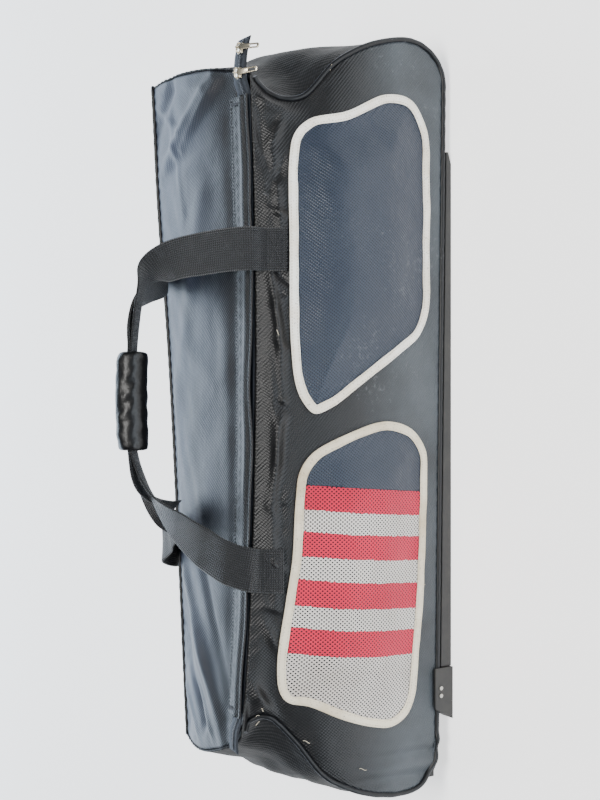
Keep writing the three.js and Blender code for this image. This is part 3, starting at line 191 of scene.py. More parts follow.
def reach(end, side, rise, allowance=0.0):
    """How far a long wall goes toward one end at a height."""
    rise = np.asarray(rise, float)
    radius = cornerRadius - allowance
    drop = np.minimum(np.maximum(cornerRadius - rise, 0), radius)
    low = bagLength / 2 - cornerRadius + np.sqrt(np.maximum(radius ** 2 - drop ** 2, 0))

    def seam(height):
        return bagLength / 2 - bagLength * read(ENDS, end, height / sideHeight) * slump_of(side)
    slope = (seam(rise + 1) - seam(rise - 1)) / 2
    high = seam(rise) - allowance * np.sqrt(1 + slope ** 2)
    return np.where(rise < cornerRadius, low, high)


def front_folds(x, rise):
    out = 0
    for along, up_, slant, reach_, spread, height in FRONT_FOLDS:
        a = math.radians(slant)
        dx, dz = x - along * bagLength, rise - up_ * sideHeight
        run = (dx * math.cos(a) + dz * math.sin(a)) / (reach_ * sideHeight)
        off = (dz * math.cos(a) - dx * math.sin(a)) / (spread * sideHeight)
        out = out + height * sideHeight * np.exp(-run ** 2 - off ** 2)
    out = out * smooth(sideHeight - rise, 0, 14)
    fade = np.maximum(1 - (x + bagLength / 2) / gatherReach, 0) * np.maximum(1 - rise / gatherTop, 0)
    wave = np.sin(2 * np.pi * (x + bagLength / 2) / gatherPitch)
    return out + gatherHeight * np.minimum(fade * 3, 1) * wave


def wall(side, x, rise):
    """A point on the outside of a long wall."""
    x, rise = np.broadcast_arrays(np.asarray(x, float), np.asarray(rise, float))
    share, half = rise / sideHeight, baseDepth / 2
    y = half * read(SIDE, side, share) + sideBelly * np.sin(np.pi * np.minimum(share, 1)) * bow(x)
    far_away = np.maximum(reach("far", side, rise) - x, 0)
    wheel_away = np.maximum(x + reach("wheel", side, rise), 0)
    y = y - half * slump_of(side) * (read(ENDS, "farTuck", share) * np.exp(-far_away / tuckLength)
                                     + read(ENDS, "wheelTuck", share) * np.exp(-wheel_away / tuckLength))
    z = base_lift(x) + pipeRadius + rise - topSag * bow(x) * share ** 2
    if side == "front":
        return np.stack([x, -y - front_folds(x, rise), z], -1)
    z = z - sideHeight * read(TOP_LINE, "drop", x / bagLength) * share ** 2
    return np.stack([x, y - half * read(TOP_LINE, "drawIn", x / bagLength) * share ** 2, z], -1)


def wall_normal(side, x, rise):
    du = wall(side, x + 6, rise) - wall(side, x - 6, rise)
    dv = wall(side, x, rise + 6) - wall(side, x, rise - 6)
    n = np.cross(du, dv)
    n /= np.linalg.norm(n, axis=-1, keepdims=True)
    return n if side == "front" else -n


def top_folds(x, across, width):
    out = 0
    for from_, a0, to, a1, spread, height in TOP_FOLDS:
        ax, ay, bx, by = from_ * bagLength, a0 * width, to * bagLength, a1 * width
        px, py = x - ax, across * width - ay
        dx, dy = bx - ax, by - ay
        t = np.clip((px * dx + py * dy) / (dx * dx + dy * dy), 0, 1)
        away = np.hypot(px - t * dx, py - t * dy)
        out = out + height * sideHeight * np.exp(-(away / (spread * sideHeight)) ** 2)
    return out


def top_point(x, across):
    """A point on the top, across = 0 at the front edge and 1 at the back edge."""
    x, across = np.broadcast_arrays(np.asarray(x, float), np.asarray(across, float))
    front, rear = wall("front", x, sideHeight), wall("back", x, sideHeight)
    width = rear[..., 1] - front[..., 1]
    p = front + (rear - front) * across[..., None]
    zip_share = zipWidth / width
    s = np.maximum(across - zip_share, 0) / (1 - zip_share)
    p[..., 2] += 4 * topCrown * s * (1 - s) + top_folds(x, across, width) * np.sin(np.pi * s)
    return p


def top_reach(end, across):
    seam = reach(end, "front", sideHeight) * (1 - across) + reach(end, "back", sideHeight) * across
    return seam + 4 * across * (1 - across) * bagLength * read(ENDS, end + "Swell", 1)


END_TURN = 0.72


def end_edge(end, side, down):
    sign = 1 if end == "far" else -1
    upper = sideHeight + (cornerRadius - sideHeight) * np.minimum(down / END_TURN, 1)
    angle = np.maximum(down - END_TURN, 0) / (1 - END_TURN) * np.pi / 2
    x = np.where(down <= END_TURN, reach(end, side, upper),
                 bagLength / 2 - cornerRadius + cornerRadius * np.cos(angle))
    return wall(side, sign * x,
                np.where(down <= END_TURN, upper, cornerRadius - cornerRadius * np.sin(angle)))


def end_point(end, down, across):
    """A point on an end panel, down = 0 at the top."""
    down, across = np.broadcast_arrays(np.asarray(down, float), np.asarray(across, float))
    sign = 1 if end == "far" else -1
    front, rear = end_edge(end, "front", down), end_edge(end, "back", down)
    p = front + (rear - front) * across[..., None]
    share = np.maximum((sideHeight + (cornerRadius - sideHeight) * down / END_TURN) / sideHeight, 0)
    above = np.maximum(1 - np.maximum(down - END_TURN, 0) * 3, 0)
    swell = bagLength * read(ENDS, end + "Swell", share) * above
    p[..., 0] += sign * 4 * across * (1 - across) * swell
    fade = np.maximum(1 - down / (END_TURN * 0.4), 0) ** 2
    level = wall("front", sign * reach(end, "front", sideHeight), sideHeight)
    other = wall("back", sign * reach(end, "back", sideHeight), sideHeight)
    plain = level + (other - level) * across[..., None]
    plain[..., 0] += sign * 4 * across * (1 - across) * bagLength * read(ENDS, end + "Swell", 1)
    return p + (top_point(sign * top_reach(end, across), across) - plain) * fade[..., None]


print("top of the front wall at mid length:", wall("front", 0, sideHeight).round(1), "mm")

# %% [markdown]
# ## Creases
# Coated nylon doesn't hang smoothly: it keeps small creases where it was folded, and puckers beside every
# seam, because the thread pulls it in. `creases` gives that as a height in millimetres over the drawn
# shape, and whatever is sewn on to a wall is placed with the same `skin`, so that nothing floats off it or
# sinks in.

# %% The skin of a wall with its creases


def creases(x, y, scale=1.0):
    """Small soft unevenness of worn cloth, the same wherever it is asked for."""
    out = 0.55 * np.sin(x / 37 + 1.7 * np.sin(y / 41)) * np.sin(y / 29 + 0.9 * np.sin(x / 67))
    out = out + 0.35 * np.sin(x / 17 + y / 23 + 1.3 * np.sin(x / 51))
    out = out + 0.18 * np.sin(x / 9.1 - y / 15 + 2 * np.sin(y / 33))
    return scale * out


def pucker(along, away, pitch=17.0, height=0.45, width=8.0):
    """Gathering beside a line of stitches."""
    wave = np.sin(2 * np.pi * along / pitch + 0.8 * np.sin(along / 37))
    return height * np.exp(-np.maximum(away, 0) / width) * wave


FRONT_CREASES = [  # from x, rise, to x, rise, half width, height
    (150, 214, 108, 172, 4, 3.0), (176, 226, 128, 186, 5, -2.6), (160, 226, 60, 208, 4, 2.6),
    (60, 226, -120, 212, 6, 3.2), (128, 226, 142, 190, 4, 2.2), (-60, 216, -130, 210, 5, -2.6),
    (236, 226, 222, 186, 4, 2.8), (260, 222, 300, 203, 5, -2.6), (300, 226, 356, 196, 5, 2.6),
    (330, 190, 392, 168, 5, 2.4), (-215, 226, -226, 190, 4, 2.4), (-236, 224, -270, 204, 5, 3.0),
    (-250, 200, -330, 172, 6, 2.6), (-330, 205, -352, 150, 5, 2.8), (-10, 215, 25, 186, 6, 2.4),
    (90, 222, 50, 176, 5, 2.4), (-160, 226, -186, 188, 4, 2.6), (20, 226, -10, 180, 4, -2.2),
    (-100, 226, -92, 186, 4, 1.9), (205, 200, 178, 160, 6, 1.8), (165, 224, 18, 211, 5, 3.6),
    (18, 211, -104, 224, 5, 3.6), (300, 219, 200, 212, 5, 2.4), (-110, 222, -210, 214, 5, 2.4)]
TOP_CREASES = [  # from x, distance behind the zip, to the same, half width, height
    (380, 150, 250, 120, 7, 1.8), (330, 60, 300, 200, 9, -1.4), (120, 190, 40, 60, 14, 1.2),
    (60, 200, -60, 150, 12, 1.0), (-60, 120, -180, 60, 12, 1.2), (-310, 200, -436, 50, 6, 3.0),
    (-250, 190, -400, 40, 7, -2.4), (-250, 150, -390, 26, 7, 1.8), (-330, 190, -300, 150, 6, 1.8),
    (160, 60, 20, 50, 12, -1.0), (430, 190, 392, 60, 6, 2.6), (400, 200, 350, 120, 5, 2.2),
    (420, 9, -400, 9, 13, -3.6), (330, 120, 410, 12, 6, 4.2), (-282, 160, -412, 18, 6, 4.2),
    (250, 170, -200, 165, 20, 2.0)]


def ridges(x, y, rows):
    """Soft creases along short lines, as heights in millimetres."""
    out = 0.0
    for x0, y0, x1, y1, half_width, height in rows:
        dx, dy = x1 - x0, y1 - y0
        t = np.clip(((x - x0) * dx + (y - y0) * dy) / (dx * dx + dy * dy), 0, 1)
        away = np.hypot(x - x0 - t * dx, y - y0 - t * dy)
        along = 0.35 + 0.65 * np.sin(np.pi * np.clip(t, 0.1, 0.9))
        out = out + height * along * np.exp(-(away / half_width) ** 2)
    return out


def wall_relief(side, x, rise):
    out = creases(x, rise, 1.0 if side == "front" else 0.8)
    if side == "front":
        above = smooth(rise, creaseFrom, creaseFull)
        out = out + creaseGain * above * ridges(x, rise, FRONT_CREASES)
    away = np.minimum(np.minimum(rise, sideHeight - rise),
                      np.minimum(reach("far", side, rise) - x, x + reach("wheel", side, rise)))
    out = out * smooth(away, 0, 22)
    return out + pucker(x + 0.6 * rise, away)


def skin(side, x, rise, lift=0.0):
    x, rise = np.broadcast_arrays(np.asarray(x, float), np.asarray(rise, float))
    out = wall_relief(side, x, rise) + lift
    return wall(side, x, rise) + wall_normal(side, x, rise) * out[..., None]


print("creases reach", round(float(np.abs(creases(*np.mgrid[-400:400:5, 0:240:5])).max()), 2), "mm")

# %% [markdown]
# ## Making meshes
# Three makers do most of the work. `cloth_panel` turns a grid of points into cloth with two faces and a
# turned edge. `swept` carries a section along a path, for tape, webbing and mouldings. `grow` runs a
# Geometry Nodes tree on a path and keeps the result as a plain mesh. Each piece gets a UV map in metres of
# cloth, so a weave has its real scale.

# %% Mesh makers


def make_piece(name, points, faces, uv=None, material=None):
    """A mesh object from millimetre points; uv holds one row for each point."""
    mesh = bpy.data.meshes.new(name)
    mesh.from_pydata(frame_points(points).tolist(), [], [list(map(int, f)) for f in faces])
    loops = np.empty(len(mesh.loops), dtype=np.int32)
    mesh.loops.foreach_get("vertex_index", loops)
    if uv is not None:
        layer = mesh.uv_layers.new(name="UVMap")
        layer.data.foreach_set("uv", np.asarray(uv, np.float32)[loops].ravel())
    mesh.polygons.foreach_set("use_smooth", np.ones(len(mesh.polygons), dtype=bool))
    if material:
        mesh.materials.append(material)
    piece = bpy.data.objects.new(name, mesh)
    bpy.context.scene.collection.objects.link(piece)
    mesh.update()
    return piece


def grid_normals(grid):
    du = np.gradient(grid, axis=1)
    dv = np.gradient(grid, axis=0)
    n = np.cross(du, dv)
    return n / np.maximum(np.linalg.norm(n, axis=-1, keepdims=True), 1e-9)


def grid_faces(rows, columns, start=0, flip=False, loop=False):
    j, i = np.meshgrid(np.arange(rows - 1), np.arange(columns if loop else columns - 1), indexing="ij")
    k = (i + 1) % columns
    a, b, c, d = (start + j * columns + i, start + j * columns + k, start + (j + 1) * columns + k,
                  start + (j + 1) * columns + i)
    quads = np.stack([a, d, c, b] if flip else [a, b, c, d], -1)
    return quads.reshape(-1, 4)


def cloth_panel(name, grid, uv, thickness, material, away_from):
    """Cloth with two faces and a rim, outside on the far side of the point away_from."""
    rows, columns = grid.shape[:2]
    n = grid_normals(grid)
    turned = np.sum(n * (grid - np.asarray(away_from, float))) < 0
    if turned:
        n = -n
    inner = grid - n * thickness
    points = np.concatenate([grid.reshape(-1, 3), inner.reshape(-1, 3)])
    size = rows * columns
    faces = [grid_faces(rows, columns, 0, turned), grid_faces(rows, columns, size, not turned)]
    ring = np.concatenate([np.arange(columns), np.arange(1, rows) * columns + columns - 1,
                           (rows - 1) * columns + np.arange(columns - 2, -1, -1),
                           np.arange(rows - 2, 0, -1) * columns])
    following = np.roll(ring, -1)
    rim = np.stack([ring, ring + size, following + size, following], -1)
    faces.append(rim[:, ::-1] if turned else rim)
    both = np.concatenate([uv.reshape(-1, 2)] * 2)
    return make_piece(name, points, np.concatenate(faces), both, material)


def swept(name, path, side, up_, section, material, closed=False):
    """A closed section of (side, up) millimetres carried along a path; section may differ at each place."""
    path, side, up_ = (np.asarray(v, float) for v in (path, side, up_))
    section = np.asarray(section, float)
    if section.ndim == 2:
        section = np.broadcast_to(section, (len(path),) + section.shape)
    count = section.shape[1]
    points = path[:, None] + side[:, None] * section[..., :1] + up_[:, None] * section[..., 1:]
    if closed:
        points = np.concatenate([points, points[:1]])
    rows = len(points)
    run = np.concatenate([[0], np.cumsum(np.linalg.norm(np.diff(points.mean(1), axis=0), axis=1))])
    around = section[0, :, 0]
    uv = np.stack(np.broadcast_arrays(around[None, :] / 1000, run[:, None] / 1000), -1)
    faces = list(grid_faces(rows, count, 0, False, True))
    if closed:
        faces = [[v % ((rows - 1) * count) for v in f] for f in faces]
        points, uv = points[:-1], uv[:-1]
    else:
        faces += [list(range(count - 1, -1, -1)), list(range((rows - 1) * count, rows * count))]
    piece = make_piece(name, points.reshape(-1, 3), faces, uv.reshape(-1, 2), material)
    point_outwards(piece.data)
    return piece


def point_outwards(mesh):
    work = bmesh.new()
    work.from_mesh(mesh)
    if work.calc_volume(signed=True) < 0:
        bmesh.ops.reverse_faces(work, faces=work.faces)
    work.to_mesh(mesh)
    work.free()
    mesh.update()


def resample(points, step, closed=False):
    """Even steps along a line of points."""
    points = np.asarray(points, float)
    if closed:
        points = np.concatenate([points, points[:1]])
    run = np.concatenate([[0], np.cumsum(np.linalg.norm(np.diff(points, axis=0), axis=1))])
    count = max(int(round(run[-1] / step)), 2)
    at = np.linspace(0, run[-1], count + 1)
    out = np.stack([np.interp(at, run, points[:, k]) for k in range(points.shape[1])], -1)
    return out[:-1] if closed else out


def through(knots, closed=False, per_span=24):
    """The smooth curve through knots, with as many steps in each span."""
    knots = np.asarray(knots, float)
    n = len(knots)
    parts = []
    for i in range(n if closed else n - 1):
        if closed:
            p0, p1, p2, p3 = (knots[(i + k) % n] for k in (-1, 0, 1, 2))
        else:
            p1, p2 = knots[i], knots[i + 1]
            p0 = knots[i - 1] if i > 0 else 2 * p1 - p2
            p3 = knots[i + 2] if i + 2 < n else 2 * p2 - p1
        d0, d1, d2 = (max(np.linalg.norm(b - a) ** 0.5, 1e-4) for a, b in ((p0, p1), (p1, p2), (p2, p3)))
        m1 = ((p1 - p0) / d0 - (p2 - p0) / (d0 + d1) + (p2 - p1) / d1) * d1
        m2 = ((p2 - p1) / d1 - (p3 - p1) / (d1 + d2) + (p3 - p2) / d2) * d1
        t = np.linspace(0, 1, per_span, endpoint=False)[:, None]
        parts.append((2 * t ** 3 - 3 * t ** 2 + 1) * p1 + (t ** 3 - 2 * t ** 2 + t) * m1
                     + (3 * t ** 2 - 2 * t ** 3) * p2 + (t ** 3 - t ** 2) * m2)
    if not closed:
        parts.append(knots[-1:])
    return np.concatenate(parts)


print("makers ready")

# %% [markdown]
# ## Nodes
# One helper adds a node with its settings, fixed values and links, for materials and for Geometry Nodes
# alike. Colours are written as sRGB hex, as a colour picker shows them, and turned to the linear values
# that shaders use.

# %% Node and colour helpers
WAVE_PITCH = 0.314  # metres between the bands of a wave texture whose scale is 1


def add(tree, kind, settings=None, values=None, links=None):
    made = tree.nodes.new(kind)
    for word, value in (settings or {}).items():
        setattr(made, word, value)
    for word, value in (values or {}).items():
        made.inputs[word].default_value = value
    for word, source in (links or {}).items():
        tree.links.new(source, made.inputs[word])
    return made


def linear(hex_colour):
    parts = [int(hex_colour[i:i + 2], 16) / 255 for i in (1, 3, 5)]
    return tuple(c / 12.92 if c <= 0.04045 else ((c + 0.055) / 1.055) ** 2.4 for c in parts) + (1.0,)


def material(name, **fixed):
    """A material with its one surface shader, whose even values are set on its own sockets."""
    made = bpy.data.materials.new(name)
    made.use_nodes = True
    tree = made.node_tree
    shader = tree.nodes["Principled BSDF"]
    for word, value in fixed.items():
        shader.inputs[word.replace("_", " ")].default_value = value
    return made, tree, shader


def plain_and_joined(parts):
    """Numbers and colours apart from other nodes' sockets."""
    plain = {k: v for k, v in parts.items() if not isinstance(v, bpy.types.NodeSocket)}
    return plain, {k: v for k, v in parts.items() if k not in plain}


def noise(tree, place, scale, detail, rough=0.5):
    """Cloudy unevenness, from 0 to 1."""
    return add(tree, "ShaderNodeTexNoise", {}, {"Scale": scale, "Detail": detail, "Roughness": rough},
               {"Vector": place}).outputs["Fac"]


def stripes(tree, place, axis, pitch, **more):
    """Soft parallel bands across one axis, pitch metres apart, from 0 to 1."""
    values = {"Scale": WAVE_PITCH / pitch, **{word.replace("_", " "): value for word, value in more.items()}}
    return add(tree, "ShaderNodeTexWave",
               {"wave_type": "BANDS", "bands_direction": axis, "wave_profile": "SIN"}, values,
               {"Vector": place}).outputs["Fac"]


def remap(tree, value, low, high, to_low=0.0, to_high=1.0, kind="LINEAR"):
    """A value between low and high, clamped and spread over another range."""
    return add(tree, "ShaderNodeMapRange", {"interpolation_type": kind},
               {"From Min": low, "From Max": high, "To Min": to_low, "To Max": to_high},
               {"Value": value}).outputs[0]


def blend(tree, share, first, second, kind="MIX"):
    """Two colours mixed by a share."""
    return add(tree, "ShaderNodeMix", {"data_type": "RGBA", "blend_type": kind},
               *plain_and_joined({0: share, 6: first, 7: second})).outputs[2]


def maths(tree, operation, *parts):
    """One operation on numbers and sockets."""
    return add(tree, "ShaderNodeMath", {"operation": operation},
               *plain_and_joined(dict(enumerate(parts)))).outputs[0]


print("a mid grey is", [round(c, 3) for c in linear("#808080")][:3])

# %% [markdown]
# ## Coated nylon
# Woven of flat polyester or nylon yarn in a diagonal twill and coated inside: the eye sees a nearly black
# blue, a cool sheen where the sky is mirrored in the yarn, fine slanting lines, and pale dust and scuffs
# from travel. The real yarns are about half a millimetre; they are drawn about five times as coarse so
# that they show.
# Light is also painted into the colour in places: a pale grey low on the walls for the floor's light, a
# bluish pale at the back of the top for the sky's reflection, and darker ends and base for shade.

# %% Nylon


def woven_nylon(name, dark, light, sheen, roughness, pitch=1.5, dust=0.35, angle=38, swell=0.5, fade=None):
    """fade = (axis, where it starts, where it is full, how much, tint): painted light, one side painted
    paler in uneven patches.
    """
    made, tree, shader = material(name, Sheen_Weight=sheen, Sheen_Roughness=0.35,
                                  Sheen_Tint=linear("#aebfe0"), Specular_IOR_Level=0.36)
    cloth_uv = add(tree, "ShaderNodeUVMap", {"uv_map": "UVMap"})
    place = add(tree, "ShaderNodeTexCoord")
    slant = add(tree, "ShaderNodeMapping", {}, {"Rotation": (0, 0, math.radians(angle))},
                {"Vector": cloth_uv.outputs[0]})
    twill = stripes(tree, slant.outputs[0], "X", pitch / 1000, Distortion=0.6, Detail=1.0, Detail_Scale=2.0)
    across = stripes(tree, slant.outputs[0], "Y", pitch * 1.2 / 1000, Distortion=0.4)
    weave = maths(tree, "MULTIPLY_ADD", twill, 0.75, across)
    streak_map = add(tree, "ShaderNodeMapping", {}, {"Scale": (26, 40, 26)},
                     {"Vector": cloth_uv.outputs[0]})
    streak = noise(tree, streak_map.outputs[0], 1.0, 3.0, 0.6)
    patch = noise(tree, place.outputs["Object"], 11.0, 4.0, 0.6)
    base = blend(tree, weave, linear(dark), linear(light))
    tone = remap(tree, patch, 0.3, 0.75, 0.0, 0.45)
    varied = blend(tree, tone, base, linear("#8a93a8"), "SOFT_LIGHT")
    grit = noise(tree, place.outputs["Object"], 160.0, 6.0, 0.75)
    where = noise(tree, place.outputs["Object"], 7.0, 2.0)
    both = maths(tree, "MULTIPLY", grit, where)
    dusty = remap(tree, both, 0.36, 0.5, 0.0, dust)
    worn = blend(tree, dusty, varied, linear("#8d8f93"))
    last = worn
    # Painted light: with fade, one side of the piece is blended toward a pale tint in uneven patches,
    # standing in for light that falls on it.
    if fade:
        axis, start, full, much, tint = fade
        parts = add(tree, "ShaderNodeSeparateXYZ", {}, {}, {0: place.outputs["Object"]})
        side = remap(tree, parts.outputs[axis], start, full, 0.0, much, kind="SMOOTHSTEP")
        painted_light_patches = maths(tree, "MULTIPLY", side, patch)
        last = blend(tree, painted_light_patches, worn, linear(tint))
    tree.links.new(last, shader.inputs["Base Color"])
    rough = remap(tree, streak, 0.0, 1.0, roughness - 0.04, roughness + 0.1)
    tree.links.new(rough, shader.inputs["Roughness"])
    soft = noise(tree, place.outputs["Object"], 42.0, 3.0, 0.55)
    hills = add(tree, "ShaderNodeBump", {}, {"Strength": swell, "Distance": 0.0022}, {"Height": soft})
    fine = add(tree, "ShaderNodeBump", {}, {"Strength": 0.8, "Distance": 0.0003},
               {"Height": weave, "Normal": hills.outputs[0]})
    tree.links.new(fine.outputs[0], shader.inputs["Normal"])
    return made


# Walls and storm flap: the fade paints light from the floor, a pale grey low on the walls, in uneven
# patches.
nylon = woven_nylon("coated_twill_nylon", "#030304", "#151516", 0.0, 0.36, pitch=2.5,
                    fade=(2, 0.15, 0.05, 0.5, "#747d84"))
# Top: its bluish colours and its fade paint the sky's reflection, a bluish pale toward the back edge in
# uneven patches.
top_nylon = woven_nylon("coated_twill_nylon_top", "#030405", "#15171c", 0.02, 0.37, pitch=2.5, dust=0.25,
                        fade=(1, -0.08, 0.12, 0.62, "#6a7690"))
# Ends and base: a darker copy of the same nylon, as painted shade.
end_nylon = woven_nylon("coated_twill_nylon_ends", "#040405", "#111214", 0.0, 0.6, pitch=3.0, swell=1.0)
# Pocket: its paler, bluish threads are partly the pocket's own cloth and partly painted floor light and sky
# sheen.
pocket_nylon = woven_nylon("coated_twill_nylon_pocket", "#050608", "#2f3744", 0.06, 0.3, pitch=2.5,
                           dust=0.3, angle=-52, swell=1.0)
print("nylons:", [m.name for m in bpy.data.materials if "nylon" in m.name])

# %% [markdown]
# ## Webbing, piping, tapes, net and thread
# Webbing is woven polypropylene with a ribbed herringbone. The binding is a cream grosgrain tape that has
# yellowed. The net is a warp knit whose holes stand in a diamond pattern, dyed in crosswise bars. Its holes
# are too many to cut, so they are drawn dark and sunk by the normal alone.

# %% Webbing


def ribbed_webbing(name, dark, light):
    made, tree, shader = material(name, Sheen_Weight=0.15, Sheen_Roughness=0.5, Specular_IOR_Level=0.35)
    tape_uv = add(tree, "ShaderNodeUVMap", {"uv_map": "UVMap"})
    parts = add(tree, "ShaderNodeSeparateXYZ", {}, {}, {0: tape_uv.outputs[0]})
    column = maths(tree, "PINGPONG", parts.outputs[0], 0.0013)
    vee = maths(tree, "ADD", parts.outputs[1], column)
    per_rib = 2 * math.pi / 0.0026
    turned = maths(tree, "MULTIPLY", vee, per_rib)
    ribs = maths(tree, "SINE", turned)
    rows = maths(tree, "MULTIPLY", parts.outputs[0], per_rib)
    cords = maths(tree, "COSINE", rows)
    weave = maths(tree, "MULTIPLY_ADD", cords, 0.8, ribs)
    level = remap(tree, weave, -0.6, 1.9)
    place = add(tree, "ShaderNodeTexCoord")
    wear = noise(tree, place.outputs["Object"], 60.0, 4.0)
    base = blend(tree, level, linear(dark), linear(light))
    fuzz = remap(tree, wear, 0.55, 0.8, 0.0, 0.25)
    worn = blend(tree, fuzz, base, linear("#4a4c50"))
    tree.links.new(worn, shader.inputs["Base Color"])
    shader.inputs["Roughness"].default_value = 0.42
    bump = add(tree, "ShaderNodeBump", {}, {"Strength": 0.8, "Distance": 0.0009}, {"Height": weave})
    tree.links.new(bump.outputs[0], shader.inputs["Normal"])
    return made


webbing = ribbed_webbing("woven_polypropylene_webbing", "#030304", "#303338")
print(webbing.name)

# %% Cream binding


def grosgrain(name, clean, stained, dirt=0.6):
    made, tree, shader = material(name, Sheen_Weight=0.2, Sheen_Roughness=0.5, Specular_IOR_Level=0.3,
                                  Roughness=0.78)
    tape_uv = add(tree, "ShaderNodeUVMap", {"uv_map": "UVMap"})
    place = add(tree, "ShaderNodeTexCoord")
    parts = add(tree, "ShaderNodeSeparateXYZ", {}, {}, {0: tape_uv.outputs[0]})
    turned = maths(tree, "MULTIPLY", parts.outputs[1], 2 * math.pi / 0.0016)
    ribs = maths(tree, "SINE", turned)
    blot = noise(tree, place.outputs["Object"], 9.0, 5.0, 0.65)
    amount = remap(tree, blot, 0.42, 0.72, 0.0, dirt)
    base = blend(tree, amount, linear(clean), linear(stained))
    speck = noise(tree, place.outputs["Object"], 420.0, 2.0)
    spots = remap(tree, speck, 0.62, 0.72, 0.0, 0.55)
    dirty = blend(tree, spots, base, linear("#4d463b"))
    tree.links.new(dirty, shader.inputs["Base Color"])
    bump = add(tree, "ShaderNodeBump", {}, {"Strength": 0.5, "Distance": 0.0003}, {"Height": ribs})
    tree.links.new(bump.outputs[0], shader.inputs["Normal"])
    return made


cream_tape = grosgrain("cream_grosgrain_tape", "#fffdf6", "#c9ac74")
beige_tape = grosgrain("beige_grosgrain_tape", "#e6dbc4", "#a98f60", 0.85)
print(cream_tape.name, beige_tape.name)

# %% Striped net
STRIPES = [  # place along the bag where a colour starts, in millimetres
    (-420, "#cdc6c0"), (-276, "#cf1840"), (-245, "#d2ccc6"), (-221, "#cf1840"), (-191, "#d2ccc6"),
    (-165, "#cf1840"), (-137, "#d2ccc6"), (-112, "#cf1840"), (-70, "#d2ccc6")]


def knit_net(name):
    made, tree, shader = material(name, Sheen_Weight=0.25, Sheen_Roughness=0.5, Specular_IOR_Level=0.25,
                                  Roughness=0.75)
    net_uv = add(tree, "ShaderNodeUVMap", {"uv_map": "UVMap"})
    place = add(tree, "ShaderNodeTexCoord")
    parts = add(tree, "ShaderNodeSeparateXYZ", {}, {}, {0: net_uv.outputs[0]})
    waves = []
    for axis, pitch in ((0, 0.0046), (1, 0.0050)):
        turned = maths(tree, "MULTIPLY", parts.outputs[axis], 2 * math.pi / pitch)
        waves.append(maths(tree, "COSINE", turned))
    cells = maths(tree, "MULTIPLY", waves[0], waves[1])
    holes = remap(tree, cells, 0.16, 0.5, kind="SMOOTHSTEP")
    lean = maths(tree, "MULTIPLY_ADD", parts.outputs[1], -0.08, parts.outputs[0])
    rough_edge = noise(tree, net_uv.outputs[0], 240.0, 1.0)
    wander = maths(tree, "MULTIPLY_ADD", rough_edge, 0.003, lean)
    first, across_all, shift = STRIPES[0][0] / 1000, 0.4, 0.0081
    share = remap(tree, wander, first - shift, first + across_all - shift)
    bars = add(tree, "ShaderNodeValToRGB", {}, {}, {0: share})
    ramp = bars.color_ramp
    ramp.interpolation = "CONSTANT"
    for k, (start, colour) in enumerate(STRIPES):
        stop = ramp.elements[0] if k == 0 else ramp.elements.new((start + 420) / 400)
        stop.position, stop.color = (start + 420) / 400, linear(colour)
    ramp.elements[-1].color = linear(STRIPES[-1][1])
    blot = noise(tree, place.outputs["Object"], 14.0, 4.0)
    grime = remap(tree, blot, 0.4, 0.8, 0.0, 0.45)
    aged = blend(tree, grime, bars.outputs["Color"], linear("#b5aa9c"), "MULTIPLY")
    seen = blend(tree, holes, aged, linear("#0c0a0b"))
    tree.links.new(seen, shader.inputs["Base Color"])
    bump = add(tree, "ShaderNodeBump", {"invert": True}, {"Strength": 0.9, "Distance": 0.0009},
               {"Height": holes})
    tree.links.new(bump.outputs[0], shader.inputs["Normal"])
    return made


net = knit_net("warp_knit_net")
print(net.name, "bars:", len(STRIPES))

# %% [markdown]
# ## Metal, mouldings and rubber
# The sliders are zinc, die cast and plated a warm nickel. Runners, feet and wheel housings are
# injection-moulded polypropylene, nearly black, dusty and scratched where they meet the road. Wheels are
# hard rubber.

# %% Hard materials


def hard(name, colour, worn, roughness, metallic=0.0, grain=0.0, grain_size=1.2, wear=0.4, **fixed):
    made, tree, shader = material(name, Metallic=metallic, **fixed)
    place = add(tree, "ShaderNodeTexCoord")
    cloud = noise(tree, place.outputs["Object"], 38.0, 6.0, 0.7)
    amount = remap(tree, cloud, 0.45, 0.75, 0.0, wear)
    base = blend(tree, amount, linear(colour), linear(worn))
    tree.links.new(base, shader.inputs["Base Color"])
    rough = remap(tree, cloud, 0.0, 1.0, roughness - 0.06, roughness + 0.18)
    tree.links.new(rough, shader.inputs["Roughness"])
    pits = noise(tree, place.outputs["Object"], 1000 / grain_size, 2.0)
    bump = add(tree, "ShaderNodeBump", {}, {"Strength": grain, "Distance": 0.0002}, {"Height": pits})
    tree.links.new(bump.outputs[0], shader.inputs["Normal"])
    return made


plated_zinc = hard("plated_die_cast_zinc", "#d6cbb4", "#8e8472", 0.24, metallic=1.0, grain=0.1, wear=0.5)
steel = hard("zinc_plated_steel", "#b6b4ae", "#77726a", 0.34, metallic=1.0, grain=0.15)
moulded = hard("moulded_polypropylene", "#1b1a19", "#3a3733", 0.5, grain=0.35, wear=0.6)
housing_plastic = hard("moulded_polypropylene_dark", "#0e0e0e", "#2b2a28", 0.52, grain=0.35, wear=0.4)
rubber = hard("moulded_rubber", "#232324", "#5b5752", 0.72, grain=0.6, wear=0.7)
zip_tape_cloth = woven_nylon("woven_zip_tape", "#101216", "#262a31", 0.15, 0.62, pitch=1.2, dust=0.25,
                             angle=0, swell=0.1)
coil = hard("nylon_zip_coil", "#30343b", "#7a7e86", 0.4, grain=0.1, wear=0.5)
piping_cloth = woven_nylon("piping_bias_nylon", "#0a0b0d", "#25282d", 0.2, 0.42, pitch=1.4, dust=0.5,
                           angle=45, swell=0.15)
dark_thread = hard("bonded_polyester_thread", "#0c0d10", "#2c2e33", 0.55, wear=0.5, Sheen_Weight=0.2)
grey_thread = hard("grey_polyester_thread", "#3a3f49", "#6b7079", 0.55, wear=0.5, Sheen_Weight=0.2)
